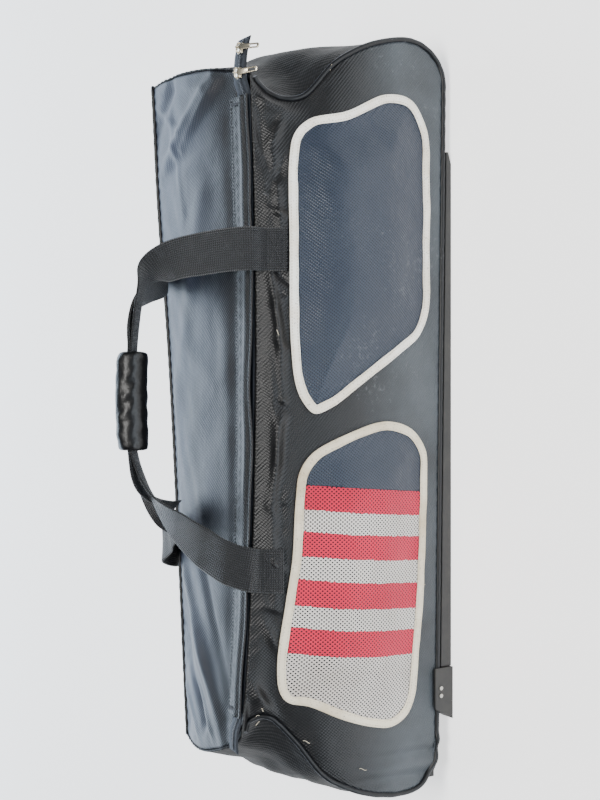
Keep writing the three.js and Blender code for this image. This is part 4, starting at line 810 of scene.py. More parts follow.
cream_thread = hard("cream_polyester_thread", "#cfc4ad", "#a08d6c", 0.6, wear=0.6, Sheen_Weight=0.2)
wrap_cloth = woven_nylon("padded_wrap_nylon", "#030304", "#0e0f11", 0.0, 0.36, pitch=1.3, dust=0.2,
                         angle=0, swell=1.0)
print("hard materials:", plated_zinc.name, moulded.name, rubber.name)

# %% [markdown]
# ## Trees that repeat along a path
# A seam is one stitch repeated, a coil zip is one loop repeated, and piping is one round section carried
# along. Each is a small Geometry Nodes tree that takes a path of edges, and an `up` attribute that says
# which way is out of the cloth. They end in real mesh with its material set, because loose instances don't
# travel to other programs.

# %% A tree of stitches


def new_tree(name, inputs):
    tree = bpy.data.node_groups.new(name, "GeometryNodeTree")
    tree.interface.new_socket("Path", in_out="INPUT", socket_type="NodeSocketGeometry")
    for word, kind, value in inputs:
        made = tree.interface.new_socket(word, in_out="INPUT", socket_type=kind)
        if value is not None:
            made.default_value = value
    tree.interface.new_socket("Geometry", in_out="OUTPUT", socket_type="NodeSocketGeometry")
    return tree, add(tree, "NodeGroupInput"), add(tree, "NodeGroupOutput")


def finish_tree(tree, start, end, geometry):
    real = add(tree, "GeometryNodeRealizeInstances", {}, {}, {0: geometry})
    shaded = add(tree, "GeometryNodeSetShadeSmooth", {}, {}, {0: real.outputs[0]})
    painted = add(tree, "GeometryNodeSetMaterial", {}, {}, {"Geometry": shaded.outputs[0],
        "Material": start.outputs["Material"]})
    tree.links.new(painted.outputs[0], end.inputs["Geometry"])


def stitch_tree():
    tree, start, end = new_tree("Row of stitches", [("Pitch", "NodeSocketFloat", 0.0036),
                                                    ("Stitch length", "NodeSocketFloat", 0.0027),
                                                    ("Thread radius", "NodeSocketFloat", 0.00045),
                                                    ("Slant", "NodeSocketFloat", 0.06),
                                                    ("Seed", "NodeSocketInt", 3),
                                                    ("Material", "NodeSocketMaterial", None)])
    line = add(tree, "GeometryNodeMeshToCurve", {}, {}, {0: start.outputs["Path"]})
    even = add(tree, "GeometryNodeResampleCurve", {"mode": "LENGTH"}, {},
               {"Curve": line.outputs[0], "Length": start.outputs["Pitch"]})
    out = add(tree, "GeometryNodeInputNamedAttribute", {"data_type": "FLOAT_VECTOR"}, {"Name": "up"})
    along = add(tree, "GeometryNodeInputTangent")
    aim_ = add(tree, "FunctionNodeAxesToRotation", {"primary_axis": "Z", "secondary_axis": "X"}, {},
               {"Primary Axis": out.outputs["Attribute"], "Secondary Axis": along.outputs[0]})
    chance = add(tree, "FunctionNodeRandomValue", {"data_type": "FLOAT"}, {2: -1.0, 3: 1.0},
                 {"Seed": start.outputs["Seed"]})
    turn = maths(tree, "MULTIPLY", chance.outputs[1], start.outputs["Slant"])
    twist = add(tree, "ShaderNodeCombineXYZ", {}, {}, {2: turn})
    turned = add(tree, "FunctionNodeRotateRotation", {"rotation_space": "LOCAL"}, {},
                 {0: aim_.outputs[0], 1: twist.outputs[0]})
    bead = add(tree, "GeometryNodeMeshUVSphere", {}, {"Segments": 6, "Rings": 4, "Radius": 1.0})
    half = maths(tree, "MULTIPLY", start.outputs["Stitch length"], 0.5)
    size = add(tree, "ShaderNodeCombineXYZ", {}, {}, {0: half, 1: start.outputs["Thread radius"],
                                                      2: start.outputs["Thread radius"]})
    stitch = add(tree, "GeometryNodeTransform", {}, {}, {"Geometry": bead.outputs["Mesh"],
        "Scale": size.outputs[0]})
    row = add(tree, "GeometryNodeInstanceOnPoints", {}, {}, {"Points": even.outputs[0],
        "Instance": stitch.outputs[0], "Rotation": turned.outputs[0]})
    finish_tree(tree, start, end, row.outputs[0])
    return tree


stitches = stitch_tree()
print("tree:", stitches.name, len(stitches.nodes), "nodes")

# %% A tree of zip coil loops, and one for cords


def coil_tree():
    tree, start, end = new_tree("Zip coil", [("Pitch", "NodeSocketFloat", 0.0018),
                                             ("Width", "NodeSocketFloat", 0.005),
                                             ("Wire radius", "NodeSocketFloat", 0.00055),
                                             ("Seed", "NodeSocketInt", 1),
                                             ("Material", "NodeSocketMaterial", None)])
    line = add(tree, "GeometryNodeMeshToCurve", {}, {}, {0: start.outputs["Path"]})
    even = add(tree, "GeometryNodeResampleCurve", {"mode": "LENGTH"}, {},
               {"Curve": line.outputs[0], "Length": start.outputs["Pitch"]})
    out = add(tree, "GeometryNodeInputNamedAttribute", {"data_type": "FLOAT_VECTOR"}, {"Name": "up"})
    along = add(tree, "GeometryNodeInputTangent")
    aim_ = add(tree, "FunctionNodeAxesToRotation", {"primary_axis": "Z", "secondary_axis": "X"}, {},
               {"Primary Axis": out.outputs["Attribute"], "Secondary Axis": along.outputs[0]})
    order = add(tree, "GeometryNodeInputIndex")
    odd = maths(tree, "MODULO", order.outputs[0], 2.0)
    lean = maths(tree, "MULTIPLY_ADD", odd, 0.5, -0.25)
    twist = add(tree, "ShaderNodeCombineXYZ", {}, {}, {2: lean})
    turned = add(tree, "FunctionNodeRotateRotation", {"rotation_space": "LOCAL"}, {},
                 {0: aim_.outputs[0], 1: twist.outputs[0]})
    bead = add(tree, "GeometryNodeMeshUVSphere", {}, {"Segments": 6, "Rings": 5, "Radius": 1.0})
    half = maths(tree, "MULTIPLY", start.outputs["Width"], 0.5)
    size = add(tree, "ShaderNodeCombineXYZ", {}, {}, {0: start.outputs["Wire radius"], 1: half,
                                                      2: start.outputs["Wire radius"]})
    loop_ = add(tree, "GeometryNodeTransform", {}, {}, {"Geometry": bead.outputs["Mesh"],
                                                        "Scale": size.outputs[0]})
    row = add(tree, "GeometryNodeInstanceOnPoints", {}, {}, {"Points": even.outputs[0],
        "Instance": loop_.outputs[0], "Rotation": turned.outputs[0]})
    finish_tree(tree, start, end, row.outputs[0])
    return tree


def cord_tree():
    tree, start, end = new_tree("Round cord", [
        ("Radius", "NodeSocketFloat", 0.003), ("Sides", "NodeSocketInt", 12),
        ("Step", "NodeSocketFloat", 0.004),
        ("Seed", "NodeSocketInt", 1), ("Material", "NodeSocketMaterial", None)])
    line = add(tree, "GeometryNodeMeshToCurve", {}, {}, {0: start.outputs["Path"]})
    even = add(tree, "GeometryNodeResampleCurve", {"mode": "LENGTH"}, {},
               {"Curve": line.outputs[0], "Length": start.outputs["Step"]})
    round_ = add(tree, "GeometryNodeCurvePrimitiveCircle", {}, {},
                 {"Resolution": start.outputs["Sides"], "Radius": start.outputs["Radius"]})
    pipe = add(tree, "GeometryNodeCurveToMesh", {}, {"Fill Caps": True},
               {"Curve": even.outputs[0], "Profile Curve": round_.outputs[0]})
    finish_tree(tree, start, end, pipe.outputs[0])
    return tree


coils, cords = coil_tree(), cord_tree()
print("trees:", coils.name, "and", cords.name)

# %% Run a tree on paths


def grow(name, tree, paths, ups, values, body="bag", closed=False):
    """A plain mesh that a tree makes along one or more paths in millimetres."""
    points, edges, outs, start = [], [], [], 0
    for path, up_ in zip(paths, ups):
        count = len(path)
        points.append(frame_points(path))
        outs.append(np.broadcast_to(np.asarray(up_, float), (count, 3)))
        edges += [(start + k, start + k + 1) for k in range(count - 1)]
        edges += [(start + count - 1, start)] if closed else []
        start += count
    guide = bpy.data.meshes.new(name + "_path")
    guide.from_pydata(np.concatenate(points).tolist(), edges, [])
    guide.attributes.new("up", "FLOAT_VECTOR", "POINT").data.foreach_set("vector",
        np.concatenate(outs).astype(np.float32).ravel())
    source = bpy.data.objects.new(name + "_path", guide)
    bpy.context.scene.collection.objects.link(source)
    modifier = source.modifiers.new("grow", "NODES")
    modifier.node_group = tree
    for item in tree.interface.items_tree:
        if item.item_type == "SOCKET" and item.in_out == "INPUT" and item.name in values:
            modifier[item.identifier] = values[item.name]
    graph = bpy.context.evaluated_depsgraph_get()
    mesh = bpy.data.meshes.new_from_object(source.evaluated_get(graph), depsgraph=graph)
    bpy.data.objects.remove(source)
    if tree is cords:
        point_outwards(mesh)
    piece = bpy.data.objects.new(name, mesh)
    bpy.context.scene.collection.objects.link(piece)
    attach(piece, body)
    print(name, len(mesh.polygons), "faces")
    return piece


def seam_row(name, paths, ups, thread=None, pitch=3.6, length=2.7, radius=0.45, closed=False, body="bag",
             seed=3):
    return grow(name, stitches, paths, ups, {
        "Pitch": pitch / 1000, "Stitch length": length / 1000, "Thread radius": radius / 1000, "Seed": seed,
        "Material": thread or dark_thread}, body, closed)


print("ready to sew")

# %% [markdown]
# ## The shell
# Six pieces of nylon. Each is a fine grid over the drawn shape, raised by its creases and by the puckers of
# its seams, with a real wall of cloth behind it. A grid is chosen over a simulation here because the slump
# of this bag is known from its outline, and a simulation wouldn't fall into the same folds.

# %% Long walls
wall_inset = pipeRadius * 0.8


def wall_sheet(side, columns, rows):
    top = sideHeight - (0.3 if side == "front" else wall_inset)
    rise = np.linspace(wall_inset, top, rows)[:, None] + np.zeros(columns)
    share = np.linspace(0, 1, columns)[None, :]
    x = -reach("wheel", side, rise, wall_inset) * (1 - share) + reach("far", side, rise, wall_inset) * share
    return x, rise


x, rise = wall_sheet("front", 300, 96)
front_wall = cloth_panel("front_wall_cloth", skin("front", x, rise), np.stack([x, rise], -1) / 1000,
                         cloth, nylon, (0, 0, 120))
x, rise = wall_sheet("back", 240, 80)
back_wall = cloth_panel("back_wall_cloth", skin("back", x, rise), np.stack([x, rise], -1) / 1000, cloth,
                        nylon, (0, 0, 120))
for piece, node in ((front_wall, "front_panel"), (back_wall, "back_panel")):
    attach(piece, "bag")
    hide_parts(node)
print("walls:", len(front_wall.data.polygons), len(back_wall.data.polygons), "faces")

# %% Top, ends and base


def top_width(x):
    """From the front to the rear top edge at a place along the bag."""
    return (wall("back", x, sideHeight) - wall("front", x, sideHeight))[..., 1]


def top_skin(x, across):
    p = top_point(x, across)
    width = top_width(x)
    y = across * width
    edge = np.minimum(np.minimum(y - zipWidth, width - y),
                      np.minimum(top_reach("far", across) - x, x + top_reach("wheel", across)))
    fold = creases(x * 0.8, y * 1.3 + 300, 1.5) + ridges(x, y - zipWidth, TOP_CREASES)
    relief = fold * smooth(edge, 0, 26) + pucker(x, edge, 14, 0.6, 14)
    relief = relief + 1.1 * np.sin(x / 23 + y / 60) * smooth(-x, 180, 380) * smooth(edge, 0, 20)
    p[..., 2] += relief
    return p


share, across = np.meshgrid(np.linspace(0, 1, 260), np.linspace(0, 1, 72))
x = (share - 0.5) * 2 * 400
width = top_width(x)
first, last = zipWidth / width, 1 - wall_inset / width
across_true = first + (last - first) * across
x = -(top_reach("wheel", across_true) - 3) * (1 - share) + (top_reach("far", across_true) - 3) * share
width = top_width(x)
across_true = zipWidth / width + (1 - wall_inset / width - zipWidth / width) * across
top_cloth = cloth_panel("top_cloth", top_skin(x, across_true),
                        np.stack([x, across_true * width], -1) / 1000, cloth, top_nylon, (0, 0, 60))


def end_sheet(end, rows=90, columns=64):
    down, v = np.meshgrid(np.linspace(0.0, 1, rows), np.linspace(0, 1, columns), indexing="ij")
    wide = np.linalg.norm(end_point(end, down, 1.0) - end_point(end, down, 0.0), axis=-1)
    p = end_point(end, down, wall_inset / wide + (1 - 2 * wall_inset / wide) * v)
    n = grid_normals(p)
    n *= np.where(np.sum(n * (p - [0, 0, 100]), axis=-1, keepdims=True) > 0, 1, -1)
    height = down * 250
    y = (v - 0.5) * wide
    edge = np.minimum(np.minimum(v, 1 - v) * wide, height)
    fold = creases(y * 1.2 + 90, height * 1.1 + (500 if end == "far" else 0), 2.0)
    relief = fold * smooth(edge, 0, 24) + pucker(height + y, edge, 12, 0.6)
    return p + n * relief[..., None], np.stack([y, height], -1) / 1000


shell = [front_wall, back_wall, top_cloth]
for end, node in (("far", "end_panel_far"), ("wheel", "end_panel_wheel")):
    grid, uv = end_sheet(end)
    piece = cloth_panel(f"{end}_end_cloth", grid, uv, cloth, end_nylon, (0, 0, 100))
    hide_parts(node)
    shell.append(piece)
half = bagLength / 2 - cornerRadius
u, v = np.meshgrid(np.linspace(-half, half, 160), np.linspace(0, 1, 50))
front_edge, back_edge = wall("front", u, 0.0), wall("back", u, 0.0)
wide = (back_edge - front_edge)[..., 1]
share = wall_inset / wide + (1 - 2 * wall_inset / wide) * v
grid = front_edge + (back_edge - front_edge) * share[..., None]
grid[..., 2] += creases(u, v * 300, 0.5) * np.sin(np.pi * v)
base_cloth = cloth_panel("base_cloth", grid, np.stack([u, v * wide], -1) / 1000, cloth, end_nylon,
                         (0, 0, 200))
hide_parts("base_panel")
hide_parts("top_panel")
shell.append(base_cloth)
for piece in shell[2:]:
    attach(piece, "bag")
print("shell:", [piece.name for piece in shell])

# %% [markdown]
# ## Piping
# A cord in a bias strip of nylon runs round each long wall and keeps the bag's corners. Along the ends it
# stands proud; on the bag a second row of sewing beside it makes it show as twin lines, but that row isn't
# made here. A cord tree sweeps it.

# %% Cords of the seams


def seam_path(side, closed_loop):
    top = sideHeight if closed_loop else sideHeight - 2 * pipeRadius
    parts = []
    for sign, end in ((1, "far"), (-1, "wheel")):
        rise = np.linspace(top, cornerRadius, 60)
        run = [skin(side, sign * reach(end, side, rise), rise)]
        a = np.linspace(0, np.pi / 2, 14)[1:]
        run.append(skin(side, sign * (bagLength / 2 - cornerRadius + cornerRadius * np.cos(a)),
                        cornerRadius - cornerRadius * np.sin(a)))
        run = np.concatenate(run)
        parts.append(run if sign > 0 else run[::-1])
    base = skin(side, np.linspace(half, -half, 90)[1:-1], 0.0)
    path = [parts[0], base, parts[1]]
    if closed_loop:
        ends = reach("far", side, sideHeight), reach("wheel", side, sideHeight)
        path.append(skin(side, np.linspace(-ends[1], ends[0], 120)[1:-1], sideHeight))
    return np.concatenate(path)


for side, closed_loop in (("front", False), ("back", True)):
    path = resample(seam_path(side, closed_loop), 4, closed_loop)
    piece = grow(f"{side}_seam_cord", cords, [path], [(0, 0, 1)],
                 {"Radius": pipeRadius / 1000, "Sides": 14, "Step": 0.004, "Material": piping_cloth},
                 closed=closed_loop)
    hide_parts(f"{side}_piping")

# %% [markdown]
# ## Main zip and its storm flap
# The zip closes the long slot between the front wall and the top, and a doubled strip of nylon, sewn to the
# top with two rows, hangs over it against rain. The tape is a swept strip, the teeth are a coil grown along
# it, and the flap is a closed section with a round folded edge that wanders as a soft hem does.

# %% Zip tape and coil


def zip_place(x, across, lift):
    x, across, lift = np.broadcast_arrays(np.asarray(x, float), np.asarray(across, float),
                                          np.asarray(lift, float))
    sign = np.where(x >= 0, 1, -1)
    limit = np.where(x >= 0, reach("far", "front", sideHeight), reach("wheel", "front", sideHeight))
    inside = np.minimum(np.abs(x), limit) * sign
    past = np.abs(x) - limit
    front, rear = wall("front", inside, sideHeight), wall("back", inside, sideHeight)
    width = (rear - front)[..., 1]
    p = front + (rear - front) * (across * zipWidth / width)[..., None]
    p[..., 0] = x
    p[..., 2] += lift + smooth(past, -24, -9) * (cloth + 7 * gap) - np.maximum(past, 0) ** 2 * 0.004
    return p


def sheet_of_sections(name, rings, uv, material):
    """A closed skin over rings of points, ring by ring, with both ends capped."""
    rows, count = rings.shape[:2]
    faces = list(grid_faces(rows, count, 0, False, True)) + [list(range(count - 1, -1, -1)),
        list(range((rows - 1) * count, rows * count))]
    piece = make_piece(name, rings.reshape(-1, 3), faces, uv.reshape(-1, 2), material)
    point_outwards(piece.data)
    return piece


zip_from = float(-reach("wheel", "front", sideHeight) - zipTailWheel)
zip_to = float(reach("far", "front", sideHeight) + zipTail)
stations = np.linspace(zip_from, zip_to, 320)
section = np.array([(0.08, 0.0), (0.3, 0.15), (0.44, 0.2), (0.56, 0.2), (0.7, 0.15), (0.985, 0.0),
                    (0.985, -1.2), (0.5, -1.1), (0.08, -1.2)])
rings = zip_place(stations[:, None], section[None, :, 0], section[None, :, 1])
uv = np.stack(np.broadcast_arrays(section[None, :, 0] * zipWidth / 1000, stations[:, None] / 1000), -1)
tape = sheet_of_sections("main_zip_tape", rings, uv, zip_tape_cloth)
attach(tape, "bag")
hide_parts("main_zip")
line = zip_place(np.linspace(zip_from + 3, zip_to - 3, 500), 0.5, 1.0)
grow("main_zip_coil", coils, [line], [(0, 0, 1)], {"Pitch": 0.0021, "Width": 0.0046,
                                                   "Wire radius": 0.0008, "Material": coil})

# %% Storm flap
flap_ends = (float(-reach("wheel", "front", sideHeight) + flapInset),
             float(reach("far", "front", sideHeight) - flapInset))
flap_across = np.array([39, 37, 34, 30, 26, 21, 17, 13, 9, 6.2, 3.6, 1.8])
flap_lift = np.interp(-flap_across, [-39, -30.5, -23.8, -13.3, -0.9], [1.0, 1.0, 2.85, 4.6, 2.8])


def flap_skin(x, s, lift):
    """A place on the flap: s millimetres behind the front edge of the zip."""
    x, s, lift = np.broadcast_arrays(np.asarray(x, float), np.asarray(s, float), np.asarray(lift, float))
    width = top_width(x)
    on_zip, on_top = zip_place(x, s / zipWidth, 0), top_skin(x, s / width)
    part = smooth(s, 27, 31)[..., None]
    p = on_zip * (1 - part) + on_top * part
    free = smooth(27 - s, 0, 20)
    wave = 0.9 * np.sin(x / 31) + 0.6 * np.sin(x / 17) + 0.5 * np.sin(x / 47 + s / 9)
    p[..., 2] += lift + free * wave
    p[..., 1] += free * (1.2 * np.sin(x / 53 + 0.7) + 0.6 * np.sin(x / 24))
    return p


x = np.linspace(flap_ends[0], flap_ends[1], 340)
outer = np.concatenate([flap_across, [0.6, 0.2, 0.6], flap_across[::-1]])
heights = np.concatenate([flap_lift + 2, [flap_lift[-1] + 1.8, flap_lift[-1] + 1.0, flap_lift[-1] + 0.2],
                          flap_lift[::-1]])
upper = np.arange(len(outer)) < 12
ridge = upper * (1.2 * np.exp(-((outer - 30) / 2.2) ** 2) - 1.3 * np.exp(-((outer - 21) / 3.0) ** 2)
                 + 0.9 * np.exp(-((outer - 13) / 3.0) ** 2) - 0.7 * np.exp(-((outer - 6.2) / 1.4) ** 2))
rings = flap_skin(x[:, None], outer[None], (heights + ridge)[None])
uv = np.stack(np.broadcast_arrays(x[:, None] / 1000,
                                  np.cumsum(np.abs(np.diff(outer, prepend=outer[0])))[None] / 1000), -1)
flap = sheet_of_sections("storm_flap_cloth", rings, uv, nylon)
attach(flap, "bag")
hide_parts("zip_storm_flap")
x = np.linspace(flap_ends[0] + 3, flap_ends[1] - 3, 500)
rows = [flap_skin(x, s, lift) for s, lift in ((37.6, 3.1), (33.6, 3.0), (6.2, 5.3))]
seam_row("storm_flap_stitches", rows, [(0, -0.2, 1)] * 3, dark_thread, 4.2, 3.3, 0.5)
tacks = [flap_skin(np.linspace(e, e + d, 12) + k * 1.2, np.linspace(8, 34, 12), 5.5)
         for e, d in ((flap_ends[0] + 5, 0), (flap_ends[1] - 9, 0)) for k in range(3)]
seam_row("storm_flap_bar_tacks", tacks, [(0, -0.2, 1)] * 6, grey_thread, 1.6, 1.5, 0.5)

# %% [markdown]
# ## Back zip
# A second zip runs along the rear top edge and opens the back pocket. From the photographer's side only its
# coil shows, as a fine toothed line on the skyline.

# %% Back zip tape and coil
wall_top = sideHeight - pipeRadius - gap - seamRoom - backZipBelow
back_from = 0.392 * bagLength - backZipLength
x = np.linspace(back_from, back_from + backZipLength, 300)
section = np.array([(0, 1.3), (9, 1.5), (13, 1.5), (22, 1.3), (22, 0.2), (11, 0.3), (0, 0.2)])
rings = skin("back", x[:, None], wall_top - section[None, :, 0], section[None, :, 1] + 0.5)
uv = np.stack(np.broadcast_arrays(section[None, :, 0] / 1000, x[:, None] / 1000), -1)
back_tape = sheet_of_sections("back_zip_tape", rings, uv, zip_tape_cloth)
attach(back_tape, "bag")
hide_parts("back_zip")
out = wall_normal("back", x[2:-2], wall_top - 11.0)
grow("back_zip_coil", coils, [skin("back", x[2:-2], wall_top - 11.0, 2.6)], [out],
     {"Pitch": 0.0021, "Width": 0.0046, "Wire radius": 0.0008, "Material": coil})
lines = [skin("back", x[3:-3], wall_top - s, 2.1) for s in (2.5, 19.5)]
seam_row("back_zip_stitches", lines, [(0, 0.9, 0.4)] * 2, dark_thread, 4.0, 3.1, 0.45)

# %% [markdown]
# ## Pockets
# Each pocket is a flat cloth, bound with tape and sewn to the wall all round. It is drawn in columns from
# the low to the high edge of its outline and swells off the wall with the distance from that edge. Its UV
# map is the wall's own length and height, so that the weave, the net's holes and its bars all stay square
# to the bag.

# %% Outlines of the pockets
NYLON_POCKET = [
    (.362, .81), (.382, .74), (.394, .57), (.422, .353), (.419, .205), (.383, .11), (.317, .09),
    (.23, .088), (.142, .089), (.108, .146), (.084, .262), (.041, .5), (.011, .663), (.004, .74),
    (.019, .794), (.041, .827), (.098, .85), (.213, .852), (.329, .84)]
MESH_POCKET = [
    (-.071, .804), (-.05, .758), (-.036, .686), (-.009, .41), (-.008, .3), (-.02, .18), (-.046, .1),
    (-.086, .091), (-.193, .097), (-.299, .122), (-.378, .154), (-.397, .197), (-.408, .286),
    (-.404, .4), (-.389, .568), (-.371, .712), (-.366, .793), (-.351, .836), (-.311, .862),
    (-.234, .845), (-.183, .826), (-.107, .819)]
BACK_POCKET = [
    (.1, .69), (.13, .64), (.14, .5), (.145, .3), (.135, .17), (.1, .12), (-.05, .11), (-.25, .13),
    (-.33, .17), (-.355, .28), (-.35, .46), (-.335, .61), (-.3, .68), (-.2, .7), (-.05, .7)]


def outline(knots, step=3.0):
    flat = through(np.array(knots) * [bagLength, sideHeight], True)
    return resample(flat, step, True)


def shrink(points, distance):
    """An outline moved inward by an even distance."""
    following, before = np.roll(points, -1, 0), np.roll(points, 1, 0)
    area = np.sum(points[:, 0] * following[:, 1] - following[:, 0] * points[:, 1])
    t = following - before
    t /= np.linalg.norm(t, axis=1, keepdims=True)
    return points + np.sign(area) * distance * np.stack([-t[:, 1], t[:, 0]], -1)


print("pocket outlines:", len(outline(NYLON_POCKET)), len(outline(MESH_POCKET)), "steps of 3 mm")

# %% Pocket cloths
POCKET_LOW, POCKET_CLOTH, TAPE = 1.1, 1.5, 1.3


def pocket_cloth(name, side, knots, finish, columns=150, rows=64, puff=pocketPuff):
    edge = shrink(outline(knots, 3.2), 2.4)
    following = np.roll(edge, -1, 0)
    low, high = edge[:, 0].min() + 0.2, edge[:, 0].max() - 0.2
    t = np.linspace(0, 1, columns)
    x = low + (high - low) * (t - 0.6 * np.sin(2 * np.pi * t) / (2 * np.pi))
    spans = []
    for place in x:
        hit = (edge[:, 0] <= place) != (following[:, 0] <= place)
        share = (place - edge[hit, 0]) / (following[hit, 0] - edge[hit, 0])
        rises = edge[hit, 1] + share * (following[hit, 1] - edge[hit, 1])
        spans.append((rises.min(), rises.max()))
    spans = np.array(spans)
    rise = spans[:, :1] + (spans[:, 1:] - spans[:, :1]) * np.linspace(0, 1, rows)[None]
    x = x[:, None] + np.zeros(rows)
    away = np.min(np.hypot(x[..., None] - edge[:, 0], rise[..., None] - edge[:, 1]), -1)
    relief = 0.9 * creases(x * 1.3, rise * 1.1 + 77) * smooth(away, 4, 30)
    relief = relief + pucker(x + rise, away - 8, 9, 0.35, 10)
    grid = skin(side, x, rise, POCKET_LOW + POCKET_CLOTH + puff * smooth(away, 6, 72) + relief)
    return cloth_panel(name, grid, np.stack([x, rise], -1) / 1000, POCKET_CLOTH, finish, (0, 0, 110))


def cut(piece, x, lean, keep_far):
    """The part of a cloth on one side of a slanting line across the bag."""
    work = bmesh.new()
    work.from_mesh(piece.data)
    place = frame_points([(x, 0, sideHeight / 2)])[0]
    bmesh.ops.bisect_plane(work, geom=work.verts[:] + work.edges[:] + work.faces[:], plane_co=place,
                           plane_no=(1, 0, lean), clear_inner=keep_far, clear_outer=not keep_far)
    bmesh.ops.holes_fill(work, edges=[e for e in work.edges if e.is_boundary])
    bmesh.ops.recalc_face_normals(work, faces=work.faces)
    work.to_mesh(piece.data)
    work.free()
    return piece


nylon_pocket = pocket_cloth("nylon_pocket_cloth", "front", NYLON_POCKET, pocket_nylon)
mesh_pocket = cut(pocket_cloth("net_pocket_cloth", "front", MESH_POCKET, net), -0.094 * bagLength, -0.08,
                  False)
yoke = cut(pocket_cloth("net_pocket_yoke_cloth", "front", MESH_POCKET, pocket_nylon),
           -0.094 * bagLength + 0.2, -0.08, True)
back_pocket = pocket_cloth("back_net_pocket_cloth", "back", BACK_POCKET, net)
for piece, node, slot in ((nylon_pocket, "nylon_pocket", "nylon"), (mesh_pocket, "mesh_pocket", "net"),
                          (yoke, "mesh_pocket_yoke", "nylon"), (back_pocket, "back_mesh_pocket", "net")):
    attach(piece, "bag")
    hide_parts(node)
print("pockets:", nylon_pocket.name, mesh_pocket.name, yoke.name, back_pocket.name)

# %% Bindings and their stitches


def bound_edge(name, side, knots, node, material):
    edge = outline(knots, 2.6)
    inner = shrink(edge, 1.0)
    x, rise = edge[:, 0], edge[:, 1]
    b = wall_normal(side, x, rise)
    step = wall(side, inner[:, 0], inner[:, 1]) - wall(side, x, rise)
    a = step - b * np.sum(step * b, axis=1, keepdims=True)
    a /= np.linalg.norm(a, axis=1, keepdims=True)
    low = POCKET_LOW + POCKET_CLOTH + 0.35
    s = [(0.1, 0.5), (-0.25, 1.6), (-0.2, 3.0), (0.35, low + 1.0), (1.4, low + TAPE),
         (3.0, low + TAPE + 0.15), (5.0, low + TAPE - 0.05),
         (7.4, low + TAPE + 0.1), (9.3, low + TAPE - 0.1), (10.0, low + 0.7), (9.9, low + 0.1), (6, low),
         (2.1, low), (1.75, low - 0.6), (1.7, 0.5)]
    run = np.arange(len(edge)) * 2.6
    wobble = 0.25 * np.sin(run / 19) + 0.2 * np.sin(run / 7.3)
    section = np.repeat(np.array(s, float)[None], len(edge), 0)
    section[:, 8:11, 0] += wobble[:, None]
    section[:, 3:9, 1] += (0.15 * np.sin(run / 5.1) + 0.12 * np.sin(run / 11.7))[:, None]
    path = skin(side, x, rise)
    piece = swept(name, path, a, b, section, material, closed=True)
    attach(piece, "bag")
    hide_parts(node)
    rows = [path + a * s_ + b * (low + TAPE + 0.2) for s_ in (2.3, 8.2)]
    seam_row(name + "_stitches", rows, [b, b], cream_thread, 3.4, 2.6, 0.42, closed=True)
    return piece


bound_edge("nylon_pocket_tape", "front", NYLON_POCKET, "nylon_pocket_binding", cream_tape)
bound_edge("net_pocket_tape", "front", MESH_POCKET, "mesh_pocket_binding", beige_tape)
bound_edge("back_net_pocket_tape", "back", BACK_POCKET, "back_pocket_binding", beige_tape)
print("bindings sewn")

# %% [markdown]
# ## Carrying straps
# Two lengths of fifty-millimetre webbing are sewn to the long walls in stitched boxes, rise, fold in on
# themselves and meet in a padded wrap. Webbing is stiff along its length and soft across it, so it is swept
# directly along its path with a slightly curled section, which a simulation with coarse cloth couldn't
# keep.

# %% Strap tables
FRONT_STRAP = [  # along, wall, up, off or depth, turn, broad
    (.214, 1, .865, 0, 0, 1), (.214, 1, .92, 0, 0, 1), (.214, 1, .965, .4, 0, 1),
    (.214, 0, 1.045, -.7, 0, 1), (.213, 0, 1.115, -.6, 0, 1), (.21, 0, 1.19, -.42, 0, 1),
    (.203, 0, 1.285, -.18, .06, .95), (.187, 0, 1.35, -.05, .45, .78), (.157, 0, 1.385, -.01, .85, .64),
    (.12, 0, 1.4, .01, 1, .6), (.09, 0, 1.408, .02, 1, .6), (.055, 0, 1.414, .03, 1, .6),
    (.02, 0, 1.416, .03, 1, .6), (-.015, 0, 1.412, .03, 1, .6), (-.05, 0, 1.404, .02, 1, .6),
    (-.08, 0, 1.375, -.01, .9, .64), (-.112, 0, 1.325, -.07, .62, .76), (-.143, 0, 1.25, -.19, .32, .9),
    (-.17, 0, 1.175, -.37, .12, 1), (-.188, 0, 1.11, -.56, .03, 1), (-.195, 0, 1.04, -.69, 0, 1),
    (-.197, 1, .965, .4, 0, 1), (-.197, 1, .92, 0, 0, 1), (-.197, 1, .862, 0, 0, 1)]
BACK_STRAP = [
    (.214, 1, .74, 0, 0, 1), (.214, 1, .8, .15, 0, 1), (.214, 1, .87, 1.8, 0, 1),
    (.214, 1, .95, 2.5, 0, 1), (.214, 0, 1.045, .8, 0, 1), (.21, 0, 1.06, .62, 0, 1),
    (.2, 0, 1.09, .44, .12, .95), (.186, 0, 1.16, .3, .4, .86), (.17, 0, 1.265, .19, .7, .74),
    (.15, 0, 1.368, .1, .92, .64), (.12, 0, 1.414, .05, 1, .6), (.09, 0, 1.4188, .032, 1, .6),
    (.055, 0, 1.4248, .042, 1, .6), (.02, 0, 1.4268, .042, 1, .6), (-.015, 0, 1.4228, .042, 1, .6),
    (-.05, 0, 1.4148, .034, 1, .6), (-.08, 0, 1.388, .06, .95, .62), (-.101, 0, 1.31, .15, .85, .7),
    (-.121, 0, 1.2, .24, .6, .8), (-.142, 0, 1.1, .33, .35, .9), (-.165, 0, 1.055, .5, .1, 1),
    (-.185, 0, 1.025, .68, 0, 1), (-.197, 1, .93, 2.5, 0, 1), (-.197, 1, .86, 1.8, 0, 1),
    (-.197, 1, .79, .3, 0, 1), (-.197, 1, .73, .3, 0, 1)]
STRAP_CROSS = np.array([0, -0.8, 0.6])


